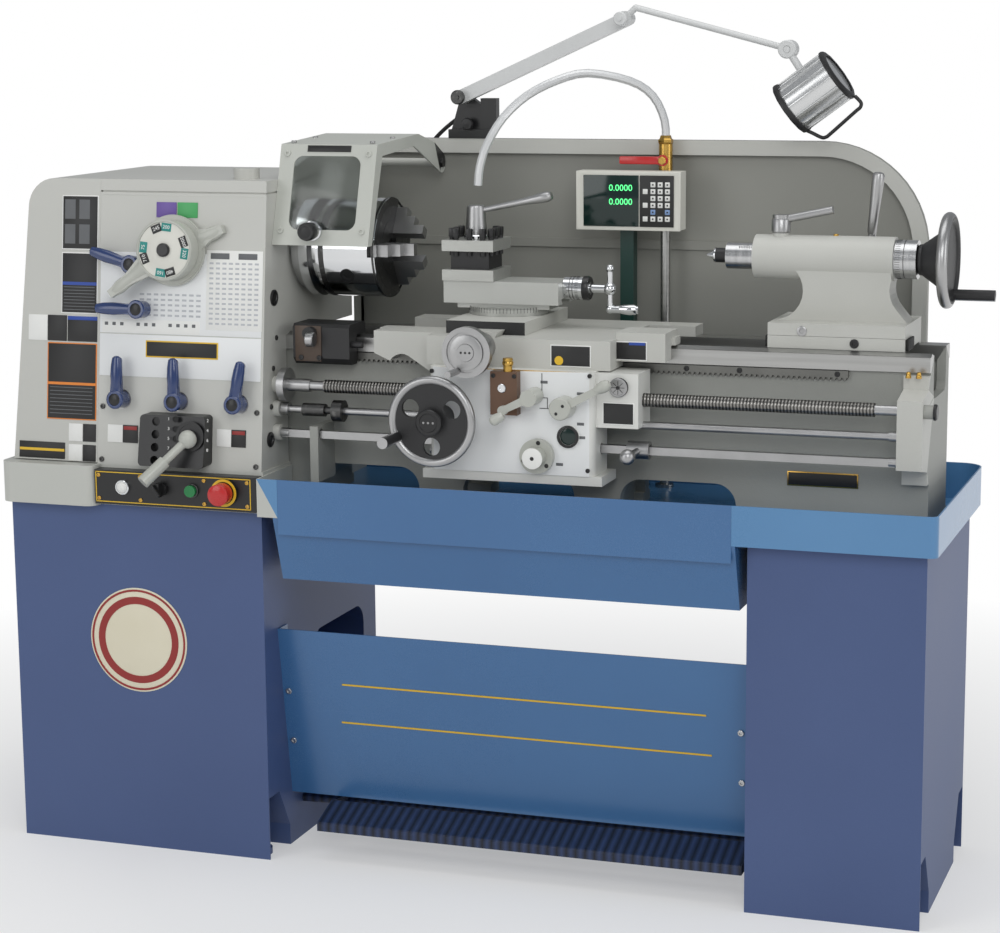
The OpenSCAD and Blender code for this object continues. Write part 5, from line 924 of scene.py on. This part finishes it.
# Carriage stop
slab("stop_front_plate", "carriage_stop", BROWN, (-312, -101.2, 976), (52, 2.6, 66), 1)
turned("stop_knurled_nut", "carriage_stop", SATIN, (-300, -118, 986), TO_RIGHT,
       [(-8, 0.2), (-8, 12), (-6, 14), (6, 14), (8, 12), (8, 0.2)], sides=28)
screws("stop_screws", "carriage_stop", BLACK, [(-326, -102.5, 950), (-290, -102.5, 950)], TOWARDS, radius=5,
       head=2)

# Apron: corner screws, knobs, sight glass, oil pump and the lines of the lever's plate
screws("apron_screws", "carriage", BLACK,
       [(x, APRON_Y, z) for x, z in ((-45, 944), (250, 946), (246, 777), (-45, 777))], TOWARDS, radius=4,
       head=2.2)
for k, (x0, z0, x1, z1) in enumerate(((162, 904, 162, 947), (162, 904, 172, 904), (172, 886, 172, 904),
                                      (158, 885, 180, 885))):
    slab("lever_path_%d" % k, "carriage", LABEL_BLACK, ((x0 + x1) / 2, APRON_Y - 0.3, (z0 + z1) / 2),
         (x1 - x0 + 1.2, 0.8, z1 - z0 + 1.2), 0)
for k, (x, z) in enumerate(((162, 932), (186, 885), (229, 914), (229, 860), (231, 836), (190, 786))):
    slab("apron_mark_%d" % k, "carriage", INK, (x + 4, APRON_Y - 0.3, z), (13, 0.7, 5), 0.2)
turned("sight_ring", "carriage", BLACK, (211, -169, 837), TOWARDS,
       [(0, 20), (2.5, 20), (3.5, 18.5), (3.5, 15.5), (-1.8, 15), (0, 20)], sides=40, closed=True)
turned("sight_glass", "carriage", SCREEN, (211, -166.5, 837), TOWARDS,
       [(0, 15), (1.6, 15), (2.6, 10), (2.8, 0.2)], sides=32)
repaint("apron", PUMP_BROWN, inside((71, -186, 872), (123, -165.5, 951)))
repaint("apron", BRASS, inside((80, -186, 950.3), (123, -160, 973)))
turned("pump_screw", "carriage", CHROME, (94, -185, 921), TOWARDS,
       [(-0.5, 8), (2, 8), (3, 7), (3, 3.4), (1, 3)], sides=20)
turned("pump_knob", "carriage", BRASS, (102, -175, 960), UP,
       [(0, 8.4), (3, 10), (7, 10), (9, 8.6), (12, 9.4), (14, 8), (14.4, 0.2)], sides=24)
screws("pump_screws", "carriage", BLACK, [(78, -185, 943), (117, -185, 943)], TOWARDS, radius=4, head=2)
turned("sump_plug", "carriage", SATIN, (-66.5, -110, 790), (-1, 0, 0), capped(7, 3, 3.6, 6), sides=6)

# Labels of the carriage, left without words
for name, body, centre, size in (
        ("saddle_plate", "carriage", (207.5, -140.6, 976.5), (75, 1.2, 39)),
        ("side_plate", "carriage", (306, -100.6, 984), (60, 1.2, 34)),
        ("bed_plate", "frame", (642.5, -52.7, 762), (126, 1.4, 26))):
    slab(name + "_border", body, LABEL_WHITE if body == "carriage" else BRASS, centre, size, 0.2)
    slab(name, body, LABEL_BLACK, (centre[0], centre[1] - 0.5, centre[2]), (size[0] - 4, 1.2, size[2] - 4),
         0.2)
slab("side_plate_band", "carriage", LABEL_BLUE, (318, -101.6, 997), (30, 0.8, 5), 0)
turned("saddle_plate_spot", "carriage", YELLOW, (186, -141.7, 968), TOWARDS, capped(8, 0.4, 0.6, 7), sides=28)
slab("dial_box_plate_border", "carriage", LABEL_WHITE, (298, -150.6, 879), (58, 1.2, 40), 0.4)
slab("dial_box_plate", "carriage", LABEL_BLACK, (298, -151.1, 879), (54, 1.2, 36), 0.4)
turned("thread_dial_ring", "thread_dial", SATIN, (DIAL_BOX_X, -155.9, DIAL_BOX_Z), TOWARDS,
       [(0, 16.8), (1.5, 16.8), (2.4, 15.6), (2.4, 13.5), (1, 13), (1, 0.2)], sides=40)
ray = slab("thread_dial_lines", "thread_dial", BLACK, (DIAL_BOX_X, -157.6, DIAL_BOX_Z + 8), (0.9, 0.8, 8), 0)
spun("thread_dial_lines", ray, (DIAL_BOX_X, -157, DIAL_BOX_Z), (0, 1, 0), all_round(8), "thread_dial")
turned("thread_dial_hub", "thread_dial", BLACK, (DIAL_BOX_X, -156.5, DIAL_BOX_Z), TOWARDS,
       capped(3.4, 2.4, 3, 2.4), sides=16)

# Handwheels: hub caps with their screws, graduated collars
turned("apron_wheel_cap", "apron_handwheel", BLACK, (WHEEL_X, -236, WHEEL_Z), TOWARDS,
       [(0, 24), (4, 24), (6, 22), (6, 17), (4.6, 16), (4.6, 0.2)], sides=40)
screws("apron_wheel_screws", "apron_handwheel", SATIN, [(WHEEL_X + s, -240.4, WHEEL_Z) for s in (-9, 0, 9)],
       TOWARDS, radius=2.2, head=1)
turned("cross_wheel_face", "cross_slide_wheel", SATIN, (CROSS_X, -221, CROSS_Z), TOWARDS,
       [(0, 31), (0.8, 31), (1.6, 29), (1.6, 16), (4, 15), (4, 0.2)], sides=48)
screws("cross_wheel_screws", "cross_slide_wheel", BLACK, [(CROSS_X + s, -224.8, CROSS_Z) for s in (-8, 0, 8)],
       TOWARDS, radius=2.2, head=0.8)
scale_marks("cross_collar_marks", "cross_slide_wheel", BLACK, (CROSS_X, -186, CROSS_Z), (0, 1, 0), 26.9, 50,
            6)
turned("cross_collar_line", "cross_slide_wheel", DARK_STEEL, (CROSS_X, -176, CROSS_Z), TOWARDS,
       flat_ring(26.9, 27.4, 1), sides=64, closed=True)
scale_marks("compound_collar_marks", "compound_crank", BLACK, (166, AXIS_Y, COMPOUND_Z), TO_RIGHT, 20.9, 40,
            6)
for k, x in enumerate((152, 158)):
    turned("compound_collar_line_%d" % k, "compound_crank", DARK_STEEL, (x, AXIS_Y, COMPOUND_Z), TO_RIGHT,
           flat_ring(20.9, 21.5, 1), sides=56, closed=True)
turned("compound_collar_cap", "compound_crank", BLACK, (176, AXIS_Y, COMPOUND_Z), TO_RIGHT,
       [(0, 20.8), (0, 22.4), (9, 22.4), (11.6, 20.6), (11.6, 12), (8, 11), (0, 20.8)], sides=40, closed=True)
turned("crank_grip", "compound_crank", CHROME, (236, AXIS_Y, 1039.6), TO_RIGHT,
       [(0, 5), (4, 6.4), (14, 8.6), (26, 10), (36, 9.2), (42, 5.5), (43.4, 0.3)], sides=28)
scale_marks("swivel_marks", "compound_base", BLACK, (31, AXIS_Y, 1038), UP, 73.9, 72, 9, 0.7)
scale_marks("tail_collar_marks", "tailstock_wheel", BLACK, (754, AXIS_Y, AXIS_Z), TO_RIGHT, 33.9, 50, 9)
turned("tail_collar_lines", "tailstock_wheel", DARK_STEEL, (764, AXIS_Y, AXIS_Z), TO_RIGHT,
       flat_ring(33.9, 34.5, 1.2), sides=64, closed=True)
turned("tail_wheel_neck", "tailstock_wheel", IRON_BLACK, (787, AXIS_Y, AXIS_Z), TO_RIGHT,
       [(0, 25), (2, 27), (14, 28), (30, 30), (44, 44), (46, 58), (48, 58), (48, 20), (0, 20), (0, 25)],
       sides=48, closed=True)

# Apron levers and the selector's grip
turned("feed_lever_grip", "apron_feed_lever", LEVER_GREY, (112, -232, 881), (-0.83, -0.2, -0.52),
       [(0, 7), (6, 8.5), (16, 10), (22, 9), (26, 5), (27, 0.3)], sides=24)
turned("half_nut_grip", "half_nut_lever", LEVER_GREY, (268, -190, 924), (0.88, 0, 0.47),
       [(0, 7), (6, 9), (16, 11), (24, 10), (29, 6), (30, 0.3)], sides=24)
turned("half_nut_cap", "half_nut_lever", LEVER_GREY, (205, -197, 890), TOWARDS, capped(19.8, 2, 4, 18, 0.2),
       sides=40)
screws("half_nut_screws", "half_nut_lever", BLACK, [(199, -200.8, 882), (211, -200.8, 896)], TOWARDS,
       radius=3, head=0.8)
screws("feed_knob_screws", "feed_knob", BLACK,
       [(154 + 25 * math.cos(a), -177.2, 800 + 25 * math.sin(a)) for a in (1.4, 3.5, 5.6)], TOWARDS, radius=4,
       head=1)
turned("feed_knob_face", "feed_knob", LABEL_WHITE, (154, -199, 800), TOWARDS, capped(18.8, 0.8, 1.6, 17, 0.2),
       sides=36)
screws("feed_knob_screw", "feed_knob", BLACK, [(154, -200.4, 800)], TOWARDS, radius=3.6, head=1.2)

# Tool post: square screw heads, lever hub and the lever's end
heads = [Matrix.Rotation(quarter * math.pi / 2, 4, "Z") @ Vector((u, -38, 0)) + Vector((POST_X, AXIS_Y, 1176))
         for quarter in range(4) for u in (-26, 0, 26)]
first = slab("post_screw_heads", "tool_post", BLACK, heads[0], (10.5, 10.5, 16), 1)
copies("post_screw_heads", first, [h - heads[0] for h in heads[1:]], "tool_post")
turned("post_hub_ring", "tool_post_lever", CHROME, (POST_X, AXIS_Y, 1163.8), UP,
       [(0, 21), (0, 23), (5, 23), (7, 21.5), (7, 20), (0, 21)], sides=48, closed=True)
turned("post_hub_cap", "tool_post_lever", SATIN, (POST_X, AXIS_Y, 1221), UP,
       [(0, 16.5), (2, 16), (3.4, 14), (3.4, 0.2)], sides=40)
LEVER_LIFT = math.radians(12)
LEVER_WAY = Vector((math.cos(LEVER_LIFT), 0, math.sin(LEVER_LIFT)))
turned("post_lever_end", "tool_post_lever", SATIN, Vector((POST_X, AXIS_Y, 1212.8)) + 96 * LEVER_WAY,
       LEVER_WAY, [(0, 6.4), (16, 7.6), (34, 9.4), (46, 9.6), (51, 8), (54, 4), (54.4, 0.3)], sides=28)

# Live centre: the bearing ring between its point and its body
turned("live_center_ring", "live_center", CHROME, (419.5, AXIS_Y, AXIS_Z), TO_RIGHT,
       [(0, 9), (0.4, 12.4), (2.4, 13.4), (4.4, 13.4), (4.4, 9), (0, 9)], sides=48, closed=True)

# Tailstock: screws, wipers, lock lever hub, clamp lever grip, oil cup and the quill's scale
turned("tail_base_screw", "tailstock", SATIN, (598, -35.2, 1021), TOWARDS,
       [(-1, 9), (1, 9), (1.6, 8), (1.6, 4), (0.4, 3.6)], sides=28)
turned("tail_offset_screw", "tailstock", BLACK, (691, -35.2, 1002), TOWARDS,
       [(-1, 8), (2, 8), (3, 7), (3, 4), (1, 3.6)], sides=24)
for name, x in (("tail_wiper_right", 782), ("tail_wiper_left", 534)):
    slab(name, "tailstock", RUBBER, (x, 0, 1001), (5, 58, 20), 1)
turned("lock_lever_hub", "quill_lock_lever", SATIN, (541, AXIS_Y, 1186), UP,
       [(0, 15.2), (2, 17), (22, 17), (25, 15), (25.6, 0.3)], sides=36)
CLAMP_LEAN = math.radians(6)
CLAMP_WAY = Vector((math.sin(CLAMP_LEAN), 0, math.cos(CLAMP_LEAN)))
clamp_low, clamp_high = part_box("tailstock_clamp_lever")
clamp_y = (clamp_low[1] + clamp_high[1]) * 500 + MIDDLE_Y
turned("clamp_lever_grip", "tailstock_clamp_lever", SATIN, Vector((680, clamp_y, 1062)) + 120 * CLAMP_WAY,
       CLAMP_WAY, [(0, 5), (4, 7.6), (40, 9), (90, 11), (104, 11), (108, 9.5), (110, 6), (110.4, 0.3)],
       sides=28)
turned("tail_oiler", "tailstock", BRASS, (640, AXIS_Y, 1181), UP, capped(5, 3, 4, 4, 0.2), sides=20)
scale = slab("quill_scale", "quill", BLACK, (470, AXIS_Y - 16.8, AXIS_Z + 16.8), (0.6, 4, 4), 0)
copies("quill_scale", scale, [(3 * i, 0, 0) for i in range(1, 8)], "quill")

# Splash guard: its left edge, folded forward to the headstock
slab("guard_left_fold", "frame", SPLASH_GREY, (-370.5, 294, 1036), (3, 54, 580), 0.6)

# Bed: rack screws, end bracket, oilers
screws("rack_screws", "frame", BLACK, [(x, -60.2, 951) for x in (397, 493, 667)], TOWARDS, radius=5, head=1.4)
screws("bracket_screws", "frame", BLACK, [(x, -53, z) for x in (794, 818) for z in (780, 938)], TOWARDS,
       radius=5, head=2)
for k, x in enumerate((794, 812)):
    turned("oiler_%d" % k, "frame", BRASS, (x, -80, 952), UP,
           [(0, 5), (4, 5), (5, 4), (9, 4), (11, 2.6), (11.2, 0.2)], sides=16)
turned("screw_end_cap", "frame", BLACK, (845, -115, 900), TO_RIGHT, capped(14, 4, 6, 12, 0.3), sides=32)

# Readout: bezel, screen, digits and keys
KEY_PITCH = 14
KEY_DROP = 12.8
slab("readout_bezel", "frame", PEARL, (210, 214.2, 1224), (204, 3.4, 111), 1.6, sunk=1.2, rim=5)
slab("readout_display", "frame", SCREEN, (177, 212.6, 1224), (108, 1.6, 96), 0.6)
slab("readout_keypad", "frame", LABEL_BLACK, (266, 212.6, 1224), (66, 1.6, 96), 0.6)
for k, z in enumerate((1248, 1222)):
    writing("readout_digits_%d" % k, "frame", DIGITS, "0.0000", (196, 211.6, z), 17)
key = slab("readout_keys", "frame", LABEL_WHITE, (259, 211.6, 1255), (9.5, 1.6, 9.5), 0.8)
key_grid = [(KEY_PITCH * i, 0, -KEY_DROP * j) for j in range(6) for i in range(3) if i or j]
white_keys = [(x, y, z) for x, y, z in key_grid if z != -KEY_DROP * 4]
copies("readout_keys", key, white_keys + [(-15, 0, -KEY_DROP), (-15, 0, -KEY_DROP * 3), (-15, 0, -64)],
       "frame")
blue = slab("readout_blue_keys", "frame", KEY_BLUE, (259, 211.6, 1203.8), (9.5, 1.6, 9.5), 0.8)
copies("readout_blue_keys", blue, [(28, 0, 0)], "frame")
dot = slab("readout_key_marks", "frame", LABEL_BLACK, (259, 210.7, 1255), (3, 0.6, 3), 0)
copies("readout_key_marks", dot, key_grid, "frame")

# Coolant valve and spout
repaint("coolant_line", BRASS, lambda x, y, z, n: 1277 < z < 1330 and x > 240)
repaint("coolant_line", GROUND, lambda x, y, z, n: z < 1277.5 and x > 240)
turned("valve_stem_nut", "valve_handle", BRASS, (267, 248, 1298), TOWARDS, capped(8, 4, 5, 7, 0.3), sides=6)
turned("valve_bonnet", "frame", BRASS, (267, 272, 1328), UP,
       [(0, 13), (2, 14.5), (8, 14.5), (10, 12), (16, 10), (16, 8.2), (0, 13)], sides=6, closed=True)
slab("valve_grip", "valve_handle", RED, (222, 249.5, 1298), (78, 6.5, 15), 2.4)

# Lamp head: a flat-sided barrel with fins between two black rings, its mirror, bulb, glass and handle
LAMP_WAY = Vector((-0.809, 0, -0.588))
LAMP_MIDDLE = Vector((552.9, 256.6, 1426.3))
LAMP_DOWN = Vector((0.588, 0, -0.809))
LAMP_SIDES = 14
lamp_turn = Vector(UP).rotation_difference(LAMP_WAY)
barrel = turned("lamp_barrel", "lamp_head", LAMP_FINS, LAMP_MIDDLE - 54 * LAMP_WAY, LAMP_WAY,
                [(0, 0.4), (0, 42), (4, 48), (106, 48), (106, 45), (34, 42), (34, 0.4)], sides=LAMP_SIDES)
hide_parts("lamp_head")
corner = lamp_turn @ Vector((0, 48.6, 0))
fin = slab("lamp_fins", "lamp_head", LAMP_FINS, LAMP_MIDDLE + corner, (2.6, 4.4, 104), 0.8,
           lamp_turn.to_matrix().to_4x4())
spun("lamp_fins", fin, LAMP_MIDDLE, LAMP_WAY, all_round(LAMP_SIDES), "lamp_head")
turned("lamp_front_ring", "lamp_head", PLASTIC, LAMP_MIDDLE + 46 * LAMP_WAY, LAMP_WAY,
       [(0, 48), (0, 52), (7, 53.5), (11, 52), (11, 45), (6, 44), (0, 48)], sides=LAMP_SIDES, closed=True)
turned("lamp_rear_ring", "lamp_head", PLASTIC, LAMP_MIDDLE - 56 * LAMP_WAY, LAMP_WAY,
       [(0, 40), (0, 48), (3, 52.5), (8, 52.5), (8, 47), (3, 42), (0, 40)], sides=LAMP_SIDES, closed=True)
turned("lamp_mirror", "lamp_head", REFLECTOR, LAMP_MIDDLE + 44 * LAMP_WAY, -LAMP_WAY,
       [(0, 44), (0, 42), (20, 36), (44, 20), (54, 8), (55, 0.4), (56, 8), (50, 24), (24, 39), (0, 44)],
       sides=48, closed=True)
turned("lamp_bulb", "lamp_head", LABEL_WHITE, LAMP_MIDDLE - 12 * LAMP_WAY, LAMP_WAY,
       [(0, 9), (20, 9), (26, 11), (36, 10), (42, 6), (43, 0.4)], sides=24)
turned("lamp_front_glass", "lamp_head", LAMP_GLASS, LAMP_MIDDLE + 50 * LAMP_WAY, LAMP_WAY,
       capped(44, 2, 2.4, 43, 0.4), sides=48)
turned("lamp_knuckle", "lamp_head", LAMP_GREY, (501.9, 265.1, 1503.3), TOWARDS,
       [(0, 0.4), (0, 15), (2, 17), (15, 17), (17, 15), (17, 7), (15, 6), (15, 0.4)], sides=36)
turned("lamp_neck", "lamp_head", LAMP_GREY, (501.9, 256.6, 1503.3), (51, 0, -77),
       [(12, 0.4), (12, 7), (56, 7), (56, 0.4)], sides=20)
handle_route = [LAMP_MIDDLE + a * LAMP_WAY + d * LAMP_DOWN for a, d in
                ((52, 50), (46, 60), (37, 76), (30, 80), (20, 80), (-40, 74), (-52, 73), (-58, 68), (-58, 60),
                 (-56, 50))]
HANDLE_RADIUS = 0.0034
handle = cable([at(*p) for p in handle_route], HANDLE_RADIUS)
bpy.ops.object.select_all(action="DESELECT")
handle.select_set(True)
bpy.context.view_layer.objects.active = handle
bpy.ops.object.convert(target="MESH")
settle(bpy.context.object, "lamp_handle", "lamp_head", PLASTIC)
for k, (material, place, radius) in enumerate((
        (LAMP_GREY, (186, 244, 1560.9), 13), (DARK_STEEL, (-147, 268, 1414), 14))):
    turned("lamp_joint_knob_%d" % k, "lamp_arm", material, place, TOWARDS,
           [(0, radius), (4, radius), (6, radius - 2), (6, 4), (9, 4), (9, 0.3)], sides=24)
turned("lamp_base_star", "frame", PLASTIC, (-135, 292, 1362), TOWARDS,
       [(0, 10), (6, 12), (10, 10), (11, 0.3)], sides=20)
turned("lamp_cable_relief", "frame", RUBBER, (-96, 318, 1402), (0, 1, 0),
       [(0, 7), (4, 7), (8, 6.2), (20, 5), (26, 4.5), (26, 4.1), (0, 4.1), (0, 7)], sides=24, closed=True)


# Floor, which fades to white away from the machine, and light
FLOOR_SIZE = 60
FADE_FROM = 0.7
FADE_TO = 2.4
FADE_LEAST = 0.35

bpy.ops.object.select_all(action="DESELECT")
bpy.ops.mesh.primitive_plane_add(size=FLOOR_SIZE)
floor = bpy.context.object
floor.name = "studio_floor"
floor_paint = bpy.data.materials.new("studio_floor")
floor_paint.use_nodes = True
floor_tree = floor_paint.node_tree
floor_body = floor_tree.nodes["Principled BSDF"]
floor_body.inputs["Base Color"].default_value = (0.86, 0.86, 0.86, 1)
floor_body.inputs["Roughness"].default_value = 0.9
reach = floor_tree.nodes.new("ShaderNodeVectorMath")
reach.operation = "LENGTH"
floor_tree.links.new(floor_tree.nodes.new("ShaderNodeTexCoord").outputs["Object"], reach.inputs[0])
fade = floor_tree.nodes.new("ShaderNodeMapRange")
fade.inputs["From Min"].default_value = FADE_FROM
fade.inputs["From Max"].default_value = FADE_TO
fade.inputs["To Min"].default_value = FADE_LEAST
fade.inputs["To Max"].default_value = 1.0
floor_tree.links.new(reach.outputs["Value"], fade.inputs["Value"])
floor_seen = floor_tree.nodes.new("ShaderNodeLightPath")
either = math_node(floor_tree, "MAXIMUM", floor_seen.outputs["Is Camera Ray"],
                   floor_seen.outputs["Is Glossy Ray"])
either = math_node(floor_tree, "MAXIMUM", either, floor_seen.outputs["Is Transmission Ray"])
floor_share = math_node(floor_tree, "MULTIPLY", fade.outputs["Result"], either)
floor_white = floor_tree.nodes.new("ShaderNodeEmission")
floor_white.inputs["Strength"].default_value = 1.0
floor_mix = floor_tree.nodes.new("ShaderNodeMixShader")
floor_tree.links.new(floor_share, floor_mix.inputs[0])
floor_tree.links.new(floor_body.outputs[0], floor_mix.inputs[1])
floor_tree.links.new(floor_white.outputs[0], floor_mix.inputs[2])
floor_end = floor_tree.nodes["Material Output"]
floor_tree.links.new(floor_mix.outputs[0], floor_end.inputs["Surface"])
floor.data.materials.append(floor_paint)

world = bpy.data.worlds.new("studio")
scene.world = world
world.use_nodes = True
tree = world.node_tree
tree.nodes.clear()
output = tree.nodes.new("ShaderNodeOutputWorld")
choose = tree.nodes.new("ShaderNodeMixShader")
soft = tree.nodes.new("ShaderNodeBackground")
soft.inputs["Color"].default_value = (0.93, 0.96, 1.0, 1)
soft.inputs["Strength"].default_value = 0.36
white = tree.nodes.new("ShaderNodeBackground")
white.inputs["Color"].default_value = (1, 1, 1, 1)
white.inputs["Strength"].default_value = 1.0
seen = tree.nodes.new("ShaderNodeLightPath")
tree.links.new(seen.outputs["Is Camera Ray"], choose.inputs[0])
tree.links.new(soft.outputs[0], choose.inputs[1])
tree.links.new(white.outputs[0], choose.inputs[2])
tree.links.new(choose.outputs[0], output.inputs[0])


def lamp(name, place, aim, width, height, watts, tint=(1, 1, 1)):
    """A soft box that faces its aim."""
    light = bpy.data.lights.new(name, "AREA")
    light.shape = "RECTANGLE"
    light.size = width
    light.size_y = height
    light.energy = watts
    light.color = tint
    stand = bpy.data.objects.new(name, light)
    stand.location = place
    stand.rotation_euler = (Vector(aim) - Vector(place)).to_track_quat("-Z", "Y").to_euler()
    scene.collection.objects.link(stand)


lamp("key_box", (1.8, -4.2, 3.2), (0, 0, 0.8), 2.4, 2.4, 62)
lamp("front_box", (-2.4, -3.8, 2.2), (-0.2, 0, 0.7), 2.0, 2.4, 34)
lamp("top_box", (0.2, -0.3, 4.0), (0, 0, 0.8), 3.2, 2.0, 34)
lamp("side_box", (4.0, -0.6, 2.0), (0.4, 0, 0.8), 1.6, 2.2, 24)

scene.view_settings.view_transform = "Standard"
